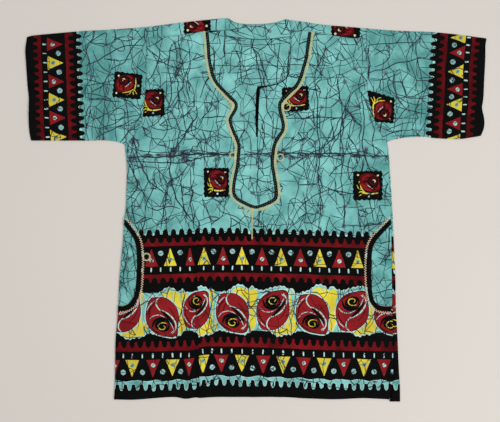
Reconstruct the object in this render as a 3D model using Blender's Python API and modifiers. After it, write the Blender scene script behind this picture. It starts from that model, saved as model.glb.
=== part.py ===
"""Dashiki shirt laid flat with its front up.

Lengths in the tables are millimetres and the finished meshes are metres. X runs
across the shirt from cuff to cuff, Y from hem to neck, Z up from the surface it
lies on. The origin is the middle of its outline, at its underside. Left and right
are those of someone looking down at the shirt.

The back lies flat at the bottom and is folded over the top of the shoulders and
over the right side. The front lies on it, with the pocket pieces in between. Each
sleeve is a tube pressed flat.
"""
import math

import bpy
import numpy as np
from mathutils import Vector
from mathutils.geometry import delaunay_2d_cdt

MM = 0.001

WALL = 1.0
GAP = 0.3
HALF_GAP = GAP / 2
BEND = (WALL + GAP) / 2
LOW_Z = WALL / 2
TOP_Z = LOW_Z + 2 * BEND
EDGE_INSET = BEND + WALL / 2
BEND_STEPS = 5

BRAID_WIDTH = 6.0
BRAID_WALL = 0.9
BINDING_WIDTH = 9.0
BINDING_WALL = 0.9
CUT_MARGIN = 0.5

BAG_LIFT = WALL + GAP
BAG_CLEAR = 5.0
BAG_FADE = 18.0
CORNER_STEPS = (5.0, 10.0, 15.0)
NECK_LIFT = 2.2
NECK_REACH = 16.0
SEAM_FADE = 16.0

OUTLINE_STEP = 13.0
EDGE_STEP = 3.0
BAND_STEP = 9.0
CUT_STEP = 6.0
GRID_STEP = 21.0
SLEEVE_RINGS = 12
SLEEVE_ROWS = 15
SHOULDER_STATIONS = 15
WRAP_STATIONS = 37

# Side edges of the body, x and y, from underarm to hem.
SIDE_LEFT = (
    (-262, 129.5), (-260, 110), (-258, 79.5), (-259, 39.5), (-260.5, 0),
    (-264, -20.5), (-266, -60.5), (-270, -100.5), (-274, -150.5), (-276.5, -210.5),
    (-281, -265), (-282, -340.5), (-284, -379.5),
)
SIDE_RIGHT = (
    (262, 135.5), (264.5, 119.5), (268, 79.5), (271, 30), (274, -20.5), (276.5, -80.5),
    (279, -140.5), (280, -195), (283, -250), (286, -320.5), (288, -350), (288.6, -383.5),
)

# Seam on the front where the back, folded over the right side, ends.
WRAP_SEAM = (
    (264.5, 89.5), (268.2, 19.5), (270.4, -20.5), (272.5, -180.5), (274, -260.5),
    (274, -340.5), (267, -376.8),
)

# Armhole seams, x and y, from the shoulder fold to the underarm.
ARM_LEFT = (
    (-219, 365.5), (-220, 299.5), (-221.2, 239.5), (-228, 183.5), (-244, 149.5),
    (-262, 129.5),
)
ARM_RIGHT = (
    (220, 363), (222, 299.5), (223, 235.5), (236.8, 179.5), (250, 151.5), (262, 135.5),
)

# Top folds of the body, x and y, from the armhole to the neck.
SHOULDER_FOLD_LEFT = (
    (-219, 365.5), (-188, 369.5), (-156, 373.5), (-124, 377.5), (-92, 380.5), (-62, 383.5),
)
SHOULDER_FOLD_RIGHT = (
    (220, 363), (180, 366.5), (132, 370.5), (100, 375.5), (70, 379.5),
)

# Shoulder seams, where the folded back meets the front.
SHOULDER_SEAM_LEFT = (
    (-219, 344), (-182, 346.5), (-144, 350.5), (-100, 357.5), (-62, 358.5),
)
SHOULDER_SEAM_RIGHT = (
    (220, 342.5), (186, 344), (152, 349.5), (110, 358), (70, 360.5),
)

# Edge of the back across the neck, and the lower edge of its facing.
BACK_NECK = (
    (-62, 383.5), (-54, 383), (-44, 376.5), (-28, 372.5), (4, 371.5), (36, 374.5),
    (52, 378.5), (60, 381.5), (70, 379.5),
)
FACING_DEPTH = 30.0

# Neck opening of the front, from its left top to the slit and up to its right top.
NECK_LEFT = (
    (-62, 358.5), (-62, 311.5), (-58.5, 279.5), (-43, 256.5), (-20, 249.8), (2.4, 247.5),
)
NECK_RIGHT = (
    (5.6, 247.5), (22, 248), (48, 256), (64.5, 271.5), (69.5, 299.5), (70, 360.5),
)
SLIT_END = (1.0, 151.5)
SLIT_END_HALF = 0.7

# Hem of the front, from left to right.
HEM = (
    (-284, -379.5), (-242, -379.5), (-204, -376.5), (-162, -374.5), (-140, -378),
    (-112, -374.8), (-40, -374.5), (48, -374.5), (100, -377), (160, -378.5),
    (218, -376.8), (267, -379.2),
)
HEM_TUCK_UNDER = 1.5

# Sleeve edges: the top fold and the underarm fold, from armhole to cuff, and the
# open cuff from top to bottom.
SLEEVE_TOP_LEFT = (
    (-219, 365.5), (-252, 363), (-300, 359.8), (-348, 357.5), (-396, 353.5),
    (-444, 349), (-458, 345.5),
)
SLEEVE_BOTTOM_LEFT = (
    (-262, 129.5), (-272, 134.5), (-300, 139), (-342, 138.5), (-400, 138.5), (-450, 138.5),
)
CUFF_LEFT = (
    (-458, 345.5), (-461, 321.5), (-460, 299.5), (-457, 249.5), (-454, 219.5),
    (-454, 165), (-450, 138.5),
)
SLEEVE_TOP_RIGHT = (
    (220, 363), (260, 359.5), (292, 357.8), (356, 355.2), (404, 350.5), (461, 343),
)
SLEEVE_BOTTOM_RIGHT = (
    (262, 135.5), (270, 139), (284, 142.5), (308, 145.5), (338, 146.5), (356, 143.5),
    (404, 141.5), (436, 145.5), (450, 148),
)
CUFF_RIGHT = (
    (461, 343), (458.5, 325), (458, 291.5), (454, 221.5), (452, 203.5), (456, 183),
    (456, 165), (450, 148),
)

# Middle of the black binding round each pocket opening, x and y, from the top.
BINDING_LEFT = (
    (-272, -18), (-263, -24.5), (-254, -35.3), (-244, -48.5), (-237.4, -61.7),
    (-234, -78), (-232.8, -100), (-233.4, -125), (-235.4, -155), (-240, -175),
    (-248, -189), (-260, -196), (-275, -197.7), (-288, -198),
)
BINDING_RIGHT = (
    (279, -16), (269.2, -23.7), (258, -35.3), (244.4, -49), (232.8, -64.5),
    (227.4, -81), (225.6, -105), (225.8, -135), (228, -167), (233, -184.5),
    (242.8, -194.5), (255, -197.7), (272.6, -197.9), (288, -198),
)

# Inner edge of a pocket piece: distance in from the side edge, and y.
POCKET_BAG = (
    (1, -29), (26, -20), (58, -42), (72, -90), (74, -150), (62, -203), (34, -221),
    (11, -207), (1, -191.5),
)

# Middle of the braid that outlines the neck and chest, from left to right.
NECK_BRAID = (
    (-98, 355), (-95.4, 329.1), (-93.6, 302.3), (-88.2, 275.5), (-80.2, 255.9),
    (-61.6, 235.1), (-42.5, 216), (-39.4, 206.5), (-43.2, 196.3), (-51, 183),
    (-50.6, 173), (-45.2, 157.5), (-37.2, 139.1), (-34, 126.5), (-35, 106.5),
    (-37.2, 86.1), (-41, 68), (-44.2, 49.3), (-44.2, 32.9), (-38.2, 22.7),
    (-22.8, 13.5), (-4, 5.6), (8, 7.3), (24.2, 13.5), (37.4, 21.7), (40.6, 34),
    (38.6, 51.3), (35.4, 72), (32.3, 92.1), (33.4, 110.5), (36.4, 128.9),
    (44.6, 145.3), (52.6, 157.5), (54.4, 169.7), (50.8, 186), (47.6, 200.3),
    (47.8, 212.5), (53.8, 221.7), (69, 237.1), (81.2, 249.3), (89.4, 265.5),
    (94.8, 284.5), (100, 302.3), (103.8, 329.1), (107.5, 355),
)

# Folds: start x, y, end x, y, height at each end, then the reach to the left and
# to the right of the way from start to end. The first is the tuck that rises from
# the hem, steep on its left. The others are storage creases and soft swells.
FOLDS = (
    (-112, -384, -118, -60, 4.2, 1.4, 4.5, 20),
    (-118, -60, -126, 330, 1.2, 0.7, 7, 8),
    (-250, 104, 252, 112, 0.9, 0.9, 7, 7),
    (4, 122, 6, -70, 0.7, 0.6, 9, 9),
    (170, -60, 150, -370, 1.0, 1.6, 34, 34),
    (-190, -60, -214, -370, 0.8, 1.2, 26, 26),
    (140, 320, 190, 60, 0.9, 0.6, 30, 30),
    (-150, 300, -215, 60, 0.7, 0.5, 26, 26),
    (-250, 300, -440, 306, 0.6, 1.8, 24, 30),
    (-262, 196, -450, 196, 1.2, 2.0, 26, 26),
    (260, 300, 440, 318, 0.8, 1.6, 26, 24),
    (290, 240, 440, 226, 0.8, 2.0, 24, 14),
    (268, 170, 440, 172, 0.9, 1.2, 18, 14),
)
SHARP_FOLD = 10.0

BLACK = (0.010, 0.010, 0.012)
TURQUOISE = (0.13, 0.50, 0.44)
PRINT = (0.10, 0.28, 0.26)


def smooth_path(points, step):
    """Curve through the points with stations about a step apart, ends kept."""
    given = np.array(points, dtype=float)
    ends = np.vstack([2 * given[0] - given[1], given, 2 * given[-1] - given[-2]])
    fine = []
    for i in range(len(given) - 1):
        a, b, c, d = ends[i:i + 4]
        for t in np.linspace(0, 1, 12, endpoint=False):
            fine.append(0.5 * (2 * b + (c - a) * t + (2 * a - 5 * b + 4 * c - d) * t * t
                               + (3 * b - 3 * c + d - a) * t ** 3))
    fine = np.array(fine + [given[-1]])
    return resample(fine, step)


def resample(path, step):
    """The same path with evenly spaced stations."""
    lengths = np.hypot(*np.diff(path, axis=0).T)
    along = np.concatenate([[0], np.cumsum(lengths)])
    count = max(2, int(round(along[-1] / step)) + 1)
    stations = np.linspace(0, along[-1], count)
    return np.column_stack([np.interp(stations, along, path[:, k]) for k in (0, 1)])


def x_at(table, y):
    """Edge's x where it passes the given y, for an edge that runs up or down."""
    path = smooth_path(table, EDGE_STEP)
    order = np.argsort(path[:, 1])
    return np.interp(y, path[order, 1], path[order, 0])


def y_at(table, x):
    """Edge's y where it passes the given x, for an edge that runs across."""
    path = smooth_path(table, EDGE_STEP)
    order = np.argsort(path[:, 0])
    return np.interp(x, path[order, 0], path[order, 1])


def stations(table, count):
    """A set number of evenly spaced stations on the curve through a table."""
    return stations_along(smooth_path(table, EDGE_STEP), count)


def stations_along(path, count):
    """A set number of evenly spaced stations on a path."""
    share = np.linspace(0, len(path) - 1, count)
    return np.column_stack([np.interp(share, np.arange(len(path)), path[:, k])
                            for k in (0, 1)])


def shoulder_lines(fold_table, seam_table, arm_gap):
    """Matching stations on a shoulder's top fold and on its seam, armhole first."""
    fold = stations(fold_table, SHOULDER_STATIONS)
    fold[:-1, 0] += arm_gap
    seam = np.column_stack([fold[:, 0], y_at(seam_table, fold[:, 0])])
    return fold, seam


def wrap_lines():
    """Matching stations on the right side's fold and on the seam where it ends."""
    ys = np.linspace(WRAP_SEAM[0][1], SIDE_RIGHT[-1][1], WRAP_STATIONS)
    seam_ys = np.linspace(WRAP_SEAM[0][1], WRAP_SEAM[-1][1], WRAP_STATIONS)
    fold = np.column_stack([x_at(SIDE_RIGHT, ys), ys])
    return fold, np.column_stack([x_at(WRAP_SEAM, seam_ys), seam_ys])


def offset_path(path, distance):
    """Path moved sideways, to the left of its own direction when positive."""
    ahead = np.gradient(path, axis=0)
    ahead /= np.hypot(ahead[:, 0], ahead[:, 1])[:, None]
    return path + distance * np.column_stack([-ahead[:, 1], ahead[:, 0]])


def path_distance(points, path):
    """Distance of each point to the nearest place on an open path."""
    best = np.full(len(points), 1e9)
    for a, b in zip(path[:-1], path[1:]):
        along = b - a
        t = np.clip(((points - a) @ along) / (along @ along), 0, 1)
        near = a + t[:, None] * along
        best = np.minimum(best, np.hypot(*(points - near).T))
    return best


def inside(points, loop):
    """Which points lie within a closed outline."""
    result = np.zeros(len(points), dtype=bool)
    x, y = points[:, 0], points[:, 1]
    for a, b in zip(loop, np.roll(loop, -1, axis=0)):
        if a[1] == b[1]:
            continue
        crosses = (a[1] > y) != (b[1] > y)
        cut = a[0] + (y - a[1]) * (b[0] - a[0]) / (b[1] - a[1])
        result ^= crosses & (x < cut)
    return result


def ease(value):
    """Smooth rise from 0 to 1."""
    t = np.clip(value, 0, 1)
    return t * t * (3 - 2 * t)


def fold_height(points):
    """Sum of the folds' heights at each point."""
    total = np.zeros(len(points))
    for x0, y0, x1, y1, h0, h1, reach_left, reach_right in FOLDS:
        start = np.array((x0, y0), dtype=float)
        along = np.array((x1, y1), dtype=float) - start
        t = np.clip(((points - start) @ along) / (along @ along), 0, 1)
        off = points - (start + t[:, None] * along)
        side = along[0] * off[:, 1] - along[1] * off[:, 0]
        reach = np.where(side > 0, reach_left, reach_right)
        distance = np.hypot(off[:, 0], off[:, 1])
        total += (h0 + (h1 - h0) * t) * np.exp(-(distance / reach) ** 2)
    return total


def side_edge(side, y):
    """The front's own edge beside a pocket: the side fold, or the wrapped seam."""
    if side < 0:
        return x_at(SIDE_LEFT, y)
    return x_at(WRAP_SEAM, y) - HALF_GAP


def pocket_opening(side):
    """Front's cut edge round a pocket opening, kept to what lies on the body."""
    binding = smooth_path(BINDING_LEFT if side < 0 else BINDING_RIGHT, CUT_STEP)
    cut = offset_path(binding, side * (BINDING_WIDTH / 2 + CUT_MARGIN))
    keep = side * (side_edge(side, cut[:, 1]) - cut[:, 0]) > 1.0
    return cut[keep]


def pocket_outline(side):
    """Closed outline of the pocket piece between the two layers."""
    table = [(side_edge(side, y) - side * depth, y) for depth, y in POCKET_BAG]
    inner = smooth_path(table, 9.0)
    ys = np.linspace(table[-1][1], table[0][1], 14)[1:-1]
    outer = np.column_stack([[side_edge(side, y) - side * 0.2 for y in ys], ys])
    return np.vstack([inner, outer])


def seam_lines():
    """Paths of the front's seams, where its folds die away."""
    left = np.vstack([ARM_LEFT, SIDE_LEFT[1:]])
    upper = [p for p in SIDE_RIGHT if p[1] > WRAP_SEAM[0][1]]
    right = np.vstack([ARM_RIGHT, upper[1:], WRAP_SEAM])
    return [np.array(p, dtype=float) for p in
            (left, right, SHOULDER_SEAM_LEFT, SHOULDER_SEAM_RIGHT)]


def front_z(points):
    """Height of the middle of the front's cloth."""
    seam = np.min([path_distance(points, line) for line in seam_lines()], axis=0)
    fade = ease(seam / SEAM_FADE)
    opening = np.vstack([NECK_LEFT, [SLIT_END], NECK_RIGHT]).astype(float)
    neck = NECK_LIFT * np.exp(-(path_distance(points, opening) / NECK_REACH) ** 2)
    lift = np.zeros(len(points))
    for side in (-1, 1):
        bag = pocket_outline(side)
        away = path_distance(points, np.vstack([bag, bag[:1]]))
        away[inside(points, bag)] = 0
        near = 1 - ease((away - BAG_CLEAR) / (BAG_FADE - BAG_CLEAR))
        lift = np.maximum(lift, BAG_LIFT * near)
    return TOP_Z + fade * (fold_height(points) + neck) + lift


def front_outline():
    """Closed outline of the front, as a list of its edges joined in order."""
    arm_left = stations(ARM_LEFT, SLEEVE_ROWS) + (HALF_GAP, 0)
    arm_left = arm_left[arm_left[:, 1] < SHOULDER_SEAM_LEFT[0][1] - 4]
    cut_left = pocket_opening(-1)
    side_left = smooth_path(SIDE_LEFT, OUTLINE_STEP)
    above = side_left[side_left[:, 1] > cut_left[0, 1] + CORNER_STEPS[-1] + 3][1:]
    below = side_left[side_left[:, 1] < cut_left[-1, 1] - CORNER_STEPS[-1] - 3][:-1]
    hem = smooth_path(HEM, OUTLINE_STEP)
    hem = hem[hem[:, 0] < WRAP_SEAM[-1][0] - 3]
    wrap = wrap_lines()[1][::-1] - (HALF_GAP, 0)
    wrap = np.vstack([[(wrap[0, 0], HEM[-1][1])], wrap])
    cut_right = pocket_opening(1)
    wrap_low = wrap[wrap[:, 1] < cut_right[-1, 1] - 1]
    wrap_high = wrap[wrap[:, 1] > cut_right[0, 1] + 1]
    wrap_high[-1, 1] += GAP
    side_right = smooth_path(SIDE_RIGHT, OUTLINE_STEP)[::-1]
    side_right = side_right[side_right[:, 1] > WRAP_SEAM[0][1] + 4][:-1]
    step = (x_at(SIDE_RIGHT, wrap_high[-1, 1]), wrap_high[-1, 1])
    arm_right = stations(ARM_RIGHT, SLEEVE_ROWS)[::-1] - (HALF_GAP, 0)
    arm_right = arm_right[arm_right[:, 1] < SHOULDER_SEAM_RIGHT[0][1] - 4]
    top_right = shoulder_lines(SHOULDER_FOLD_RIGHT, SHOULDER_SEAM_RIGHT, -HALF_GAP)[1]
    top_right[:, 1] -= HALF_GAP
    top_left = shoulder_lines(SHOULDER_FOLD_LEFT, SHOULDER_SEAM_LEFT, HALF_GAP)[1][::-1]
    top_left[:, 1] -= HALF_GAP
    neck_right = smooth_path(NECK_RIGHT, OUTLINE_STEP)[::-1][1:]
    neck_left = smooth_path(NECK_LEFT, OUTLINE_STEP)[::-1][:-1]
    slit_x, slit_y = SLIT_END
    slit_ys = np.linspace(NECK_LEFT[-1][1], slit_y, 8)[1:]
    spread = np.linspace(0, 1, 8)[1:]
    down = np.column_stack([
        NECK_RIGHT[0][0] + (slit_x + SLIT_END_HALF - NECK_RIGHT[0][0]) * spread, slit_ys])
    up = np.column_stack([
        NECK_LEFT[-1][0] + (slit_x - SLIT_END_HALF - NECK_LEFT[-1][0]) * spread, slit_ys])
    reach = np.array((0.0,) + CORNER_STEPS)
    high_ys, low_ys = cut_left[0, 1] + reach[::-1], cut_left[-1, 1] - reach
    corner_above = np.column_stack([side_edge(-1, high_ys), high_ys])
    corner_below = np.column_stack([side_edge(-1, low_ys), low_ys])
    corner_low = [(side_edge(1, cut_right[-1, 1]), cut_right[-1, 1])]
    corner_high = [(side_edge(1, cut_right[0, 1]), cut_right[0, 1])]
    return np.vstack([
        arm_left, above, corner_above, cut_left, corner_below, below, hem, wrap_low,
        corner_low, cut_right[::-1], corner_high, wrap_high, [step], side_right,
        arm_right, top_right, neck_right, down, up[::-1], neck_left, top_left])


def thin_out(candidates, kept, spacing):
    """Candidates that stay a spacing apart from each other and from those kept."""
    chosen = np.array(kept, dtype=float)
    for point in candidates:
        if np.min(np.hypot(*(chosen - point).T)) > spacing:
            chosen = np.vstack([chosen, point])
    return chosen


def fill_panel(loop, features, spacing):
    """Triangles of a flat panel, with points at its features and on a loose grid."""
    closed = np.vstack([loop, loop[:1]])
    points = loop
    if len(features):
        good = inside(features, loop) & (path_distance(features, closed) > 3.0)
        points = thin_out(features[good], points, 3.6)
    if spacing:
        low, high = loop.min(axis=0), loop.max(axis=0)
        grid = []
        for row, y in enumerate(np.arange(low[1], high[1], spacing * 0.87)):
            shift = spacing / 2 if row % 2 else 0
            grid += [(x + shift, y) for x in np.arange(low[0], high[0], spacing)]
        grid = np.array(grid)
        good = inside(grid, loop) & (path_distance(grid, closed) > spacing * 0.4)
        points = thin_out(grid[good], points, spacing * 0.5)
    count = len(loop)
    edges = [(i, (i + 1) % count) for i in range(count)]
    result = delaunay_2d_cdt([Vector(p) for p in points], edges, [], 0, 1e-5)
    verts = np.array([tuple(v) for v in result[0]])
    faces = np.array([tuple(f) for f in result[2]])
    faces = faces[inside(verts[faces].mean(axis=1), loop)]
    return verts, faces


def upward(verts, faces):
    """Faces turned so that each one's front points up."""
    a, b, c = (verts[faces[:, k]] for k in (0, 1, 2))
    area = (b[:, 0] - a[:, 0]) * (c[:, 1] - a[:, 1]) - (b[:, 1] - a[:, 1]) * (c[:, 0] - a[:, 0])
    return [tuple(int(i) for i in (f if s > 0 else f[::-1])) for f, s in zip(faces, area)]


def material(name, colour, roughness):
    """Cloth colour with a soft, even shine."""
    cloth = bpy.data.materials.new(name)
    cloth.use_nodes = True
    shader = cloth.node_tree.nodes["Principled BSDF"]
    shader.inputs["Base Color"].default_value = (*colour, 1.0)
    shader.inputs["Roughness"].default_value = roughness
    shader.inputs["Metallic"].default_value = 0.0
    return cloth


def add_cloth(name, points, faces, wall, colour, roughness=0.85):
    """A sheet through its middle surface, thickened evenly both ways."""
    mesh = bpy.data.meshes.new(name)
    mesh.from_pydata([tuple(MM * c for c in p) for p in points], [], faces)
    mesh.materials.append(material(name + "_cloth", colour, roughness))
    mesh.validate()
    obj = bpy.data.objects.new(name, mesh)
    shirt.objects.link(obj)
    shell = obj.modifiers.new("Cloth", "SOLIDIFY")
    shell.thickness = wall * MM
    shell.offset = 0.0
    shell.use_even_offset = True
    return obj


def fold_features():
    """Places beside the sharper folds where the front needs points."""
    places = []
    for x0, y0, x1, y1, _, _, reach_left, reach_right in FOLDS:
        if min(reach_left, reach_right) > SHARP_FOLD:
            continue
        line = resample(np.array([(x0, y0), (x1, y1)], dtype=float), 16.0)
        places.append(line)
        for share in (0.55, 1.2, 2.1):
            places.append(offset_path(line, share * reach_left))
            places.append(offset_path(line, -share * reach_right))
    return places


def make_front():
    """Front panel with neck, slit and pocket openings, lying over everything else."""
    features = []
    for half in (-0.5, 0.5):
        braid = smooth_path(NECK_BRAID, 9.0)
        features.append(offset_path(braid, half * BRAID_WIDTH))
        for table in (BINDING_LEFT, BINDING_RIGHT):
            features.append(offset_path(smooth_path(table, 7.0), half * BINDING_WIDTH * 0.8))
    for side in (-1, 1):
        bag = pocket_outline(side)
        ring = np.vstack([bag, bag[:2]])
        for out in (BAG_CLEAR + 0.5, -BAG_CLEAR, (BAG_CLEAR + BAG_FADE) / 2, BAG_FADE + 1):
            features.append(offset_path(ring, -side * out))
    opening = np.vstack([NECK_LEFT, [SLIT_END], NECK_RIGHT]).astype(float)
    for out in (8.0, 18.0, 30.0):
        features.append(offset_path(resample(opening, 13.0), -out))
    features += fold_features()
    loop = front_outline()
    verts, faces = fill_panel(loop, np.vstack(features), GRID_STEP)
    points = np.column_stack([verts, front_z(verts)])
    add_cloth("front_body", points, upward(verts, faces), WALL, PRINT)


def strip_over(points, faces, first, edge, inner):
    """Cloth folded over an edge: a hairpin bend, then a flap back to the inner line."""
    away = edge - inner
    away /= np.hypot(away[:, 0], away[:, 1])[:, None]
    rows = []
    for turn in np.linspace(0, math.pi, BEND_STEPS + 1)[1:]:
        flat = edge + away * BEND * math.sin(turn)
        rows.append((flat, LOW_Z + BEND * (1 - math.cos(turn))))
    for share in (0.5, 1.0):
        rows.append((edge + (inner - edge) * share, TOP_Z))
    previous = [first + i for i in range(len(edge))]
    for flat, z in rows:
        start = len(points)
        points += [(x, y, z) for x, y in flat]
        current = [start + i for i in range(len(edge))]
        for i in range(len(edge) - 1):
            faces.append((previous[i], previous[i + 1], current[i + 1], current[i]))
        previous = current


def make_back():
    """Back panel, flat below, folded over both shoulders and over the right side."""
    step = OUTLINE_STEP
    fold_left, seam_left = shoulder_lines(SHOULDER_FOLD_LEFT, SHOULDER_SEAM_LEFT, HALF_GAP)
    fold_right, seam_right = shoulder_lines(SHOULDER_FOLD_RIGHT, SHOULDER_SEAM_RIGHT,
                                            -HALF_GAP)
    fold_side, wrap = wrap_lines()
    for fold in (fold_left, fold_right):
        fold[:, 1] -= EDGE_INSET
    for seam in (seam_left, seam_right):
        seam[:, 1] += HALF_GAP
    fold_side[:, 0] -= EDGE_INSET
    wrap[:, 0] += HALF_GAP
    neck = smooth_path(BACK_NECK, 9.0)[1:-1]
    arm_right = stations(ARM_RIGHT, SLEEVE_ROWS)[1:] - (HALF_GAP, 0)
    side_right = smooth_path(SIDE_RIGHT, step)
    side_right = side_right[side_right[:, 1] > WRAP_SEAM[0][1] + 4][1:]
    hem = smooth_path(HEM, step)[::-1] + (0, HEM_TUCK_UNDER)
    hem = np.vstack([[(283.5, -377.5), (272, -377.5)], hem[hem[:, 0] < 266]])
    side_left = smooth_path(SIDE_LEFT, step)[::-1][1:-1]
    hem[-1] = SIDE_LEFT[-1]
    arm_left = stations(ARM_LEFT, SLEEVE_ROWS)[::-1][:-1] + (HALF_GAP, 0)
    pieces = [fold_left, neck, fold_right[::-1], arm_right, side_right, fold_side, hem,
              side_left, arm_left]
    loop = np.vstack(pieces)
    starts = np.cumsum([0] + [len(p) for p in pieces])
    verts, tris = fill_panel(loop, np.zeros((0, 2)), 0)
    points = [(x, y, LOW_Z) for x, y in verts]
    faces = upward(verts, tris)
    strip_over(points, faces, starts[0], fold_left, seam_left)
    strip_over(points, faces, starts[2], fold_right[::-1], seam_right[::-1])
    strip_over(points, faces, starts[5], fold_side, wrap)
    add_cloth("back_body", points, faces, WALL, PRINT)


def make_sleeve(name, top_table, bottom_table, arm_table, cuff_table, gap):
    """Flat tube from armhole to cuff, folded along its top and its underarm."""
    top = stations(top_table, SLEEVE_RINGS) - (0, EDGE_INSET)
    bottom = stations(bottom_table, SLEEVE_RINGS) + (0, EDGE_INSET)
    arm = stations(arm_table, SLEEVE_ROWS) + (gap, 0)
    cuff = stations(cuff_table, SLEEVE_ROWS)
    top[0, 0] += gap
    bottom[0, 0] += gap
    arm[0], arm[-1] = top[0], bottom[0]
    cuff[0], cuff[-1] = top[-1], bottom[-1]
    down = np.linspace(0, 1, SLEEVE_ROWS)[:, None]
    turns = np.linspace(0, math.pi, BEND_STEPS + 1)[1:-1]
    points = []
    for i, out in enumerate(np.linspace(0, 1, SLEEVE_RINGS)):
        corners = ((1 - out) * ((1 - down) * top[0] + down * bottom[0])
                   + out * ((1 - down) * top[-1] + down * bottom[-1]))
        row = ((1 - down) * top[i] + down * bottom[i]
               + (1 - out) * arm + out * cuff - corners)
        from_fold = np.minimum(down, 1 - down)[:, 0] / 0.16
        lifted = TOP_Z + ease(from_fold) * ease(out / 0.1) * fold_height(row)
        points += [(x, y, LOW_Z) for x, y in row]
        for turn in turns:
            points.append((row[-1, 0], row[-1, 1] - BEND * math.sin(turn),
                           LOW_Z + BEND * (1 - math.cos(turn))))
        points += [(x, y, z) for (x, y), z in zip(row[::-1], lifted[::-1])]
        for turn in turns[::-1]:
            points.append((row[0, 0], row[0, 1] + BEND * math.sin(turn),
                           LOW_Z + BEND * (1 - math.cos(turn))))
    ring = 2 * SLEEVE_ROWS + 2 * len(turns)
    faces = []
    for i in range(SLEEVE_RINGS - 1):
        for j in range(ring):
            k = (j + 1) % ring
            face = (i * ring + j, i * ring + k, (i + 1) * ring + k, (i + 1) * ring + j)
            faces.append(face if gap < 0 else face[::-1])
    add_cloth(name, points, faces, WALL, PRINT)


def make_facing():
    """Strip of cloth inside the back of the neck."""
    xs = np.linspace(NECK_LEFT[0][0] + 1.0, NECK_RIGHT[-1][0] - 1.0, 15)
    points = []
    for x in xs:
        top = y_at(BACK_NECK, x) - 1.5
        bottom = y_at(((-62, 379), (4, 371.5), (70, 377)), x) - FACING_DEPTH
        points += [(x, y, TOP_Z) for y in np.linspace(bottom, top, 3)]
    faces = []
    for i in range(len(xs) - 1):
        for j in (0, 1):
            a = 3 * i + j
            faces.append((a, a + 3, a + 4, a + 1))
    add_cloth("neck_facing", points, faces, WALL, TURQUOISE)


def make_pocket(name, side):
    """Pocket piece lying on the back, under the front, open to the side."""
    loop = pocket_outline(side)
    if side < 0:
        loop = loop[::-1]
    verts, faces = fill_panel(loop, np.zeros((0, 2)), 0)
    points = [(x, y, TOP_Z) for x, y in verts]
    add_cloth(name, points, upward(verts, faces), WALL, TURQUOISE)


def make_band(name, table, width, wall, side):
    """Band sewn on the front: its edges follow the cloth below, moved out."""
    path = smooth_path(table, EDGE_STEP)
    count = int(len(path) * EDGE_STEP / BAND_STEP)
    points = []
    for half in (-0.5, 0, 0.5):
        edge = offset_path(path, half * width)
        if side:
            edge = edge[side * (side_edge(side, edge[:, 1]) - edge[:, 0]) > 0.6]
        row = stations_along(edge, count)
        lift = front_z(row) + WALL / 2 + GAP + wall / 2
        points += [(x, y, z) for (x, y), z in zip(row, lift)]
    faces = []
    for j in (0, 1):
        for i in range(count - 1):
            a = j * count + i
            faces.append((a, a + 1, a + count + 1, a + count))
    add_cloth(name, points, faces, wall, BLACK, 0.7)


def centre_on_floor(objects):
    """Outline's middle over the origin and the underside at zero height."""
    corners = []
    graph = bpy.context.evaluated_depsgraph_get()
    for obj in objects:
        mesh = obj.evaluated_get(graph).to_mesh()
        found = np.empty(3 * len(mesh.vertices), dtype=np.float32)
        mesh.vertices.foreach_get("co", found)
        found = found.reshape(-1, 3)
        corners += [found.min(axis=0), found.max(axis=0)]
    low, high = np.min(corners, axis=0), np.max(corners, axis=0)
    shift = Vector((-(low[0] + high[0]) / 2, -(low[1] + high[1]) / 2, -low[2]))
    for obj in objects:
        for vertex in obj.data.vertices:
            vertex.co += shift


for leftover in list(bpy.data.objects):
    bpy.data.objects.remove(leftover, do_unlink=True)

shirt = bpy.data.collections.new("dashiki_shirt")
bpy.context.scene.collection.children.link(shirt)

make_back()
make_pocket("pocket_left", -1)
make_pocket("pocket_right", 1)
make_facing()
make_front()
make_sleeve("sleeve_left", SLEEVE_TOP_LEFT, SLEEVE_BOTTOM_LEFT, ARM_LEFT, CUFF_LEFT, -HALF_GAP)
make_sleeve("sleeve_right", SLEEVE_TOP_RIGHT, SLEEVE_BOTTOM_RIGHT, ARM_RIGHT, CUFF_RIGHT,
            HALF_GAP)
make_band("neck_braid", NECK_BRAID, BRAID_WIDTH, BRAID_WALL, 0)
make_band("pocket_binding_left", BINDING_LEFT, BINDING_WIDTH, BINDING_WALL, -1)
make_band("pocket_binding_right", BINDING_RIGHT, BINDING_WIDTH, BINDING_WALL, 1)
bpy.context.view_layer.update()
centre_on_floor(list(shirt.objects))
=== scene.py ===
"""Looks of the dashiki shirt: printed cotton, braid, stitching, table, light and camera.

Lengths are millimetres until a mesh is made, and then metres. The print is drawn on a
chart of 2 mm squares counted from the top left of the table, u across and v down.
"""
import math

import bpy
import numpy as np
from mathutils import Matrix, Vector
from mathutils.geometry import delaunay_2d_cdt


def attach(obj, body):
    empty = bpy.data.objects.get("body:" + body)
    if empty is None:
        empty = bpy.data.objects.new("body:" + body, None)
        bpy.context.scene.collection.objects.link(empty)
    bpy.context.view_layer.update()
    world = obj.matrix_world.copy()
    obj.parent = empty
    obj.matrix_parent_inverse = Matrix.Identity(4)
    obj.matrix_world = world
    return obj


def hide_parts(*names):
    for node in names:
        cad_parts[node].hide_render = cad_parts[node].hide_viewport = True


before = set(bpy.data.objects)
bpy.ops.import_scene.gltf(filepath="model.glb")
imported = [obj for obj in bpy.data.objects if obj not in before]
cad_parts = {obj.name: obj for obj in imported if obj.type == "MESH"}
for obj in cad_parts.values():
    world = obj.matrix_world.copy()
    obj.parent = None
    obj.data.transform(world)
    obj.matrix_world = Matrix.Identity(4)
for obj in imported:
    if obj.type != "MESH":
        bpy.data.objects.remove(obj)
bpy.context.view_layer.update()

MM = 0.001
SQUARE = 2.0
CHART_U, CHART_V = 256.0, 209.75

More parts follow.
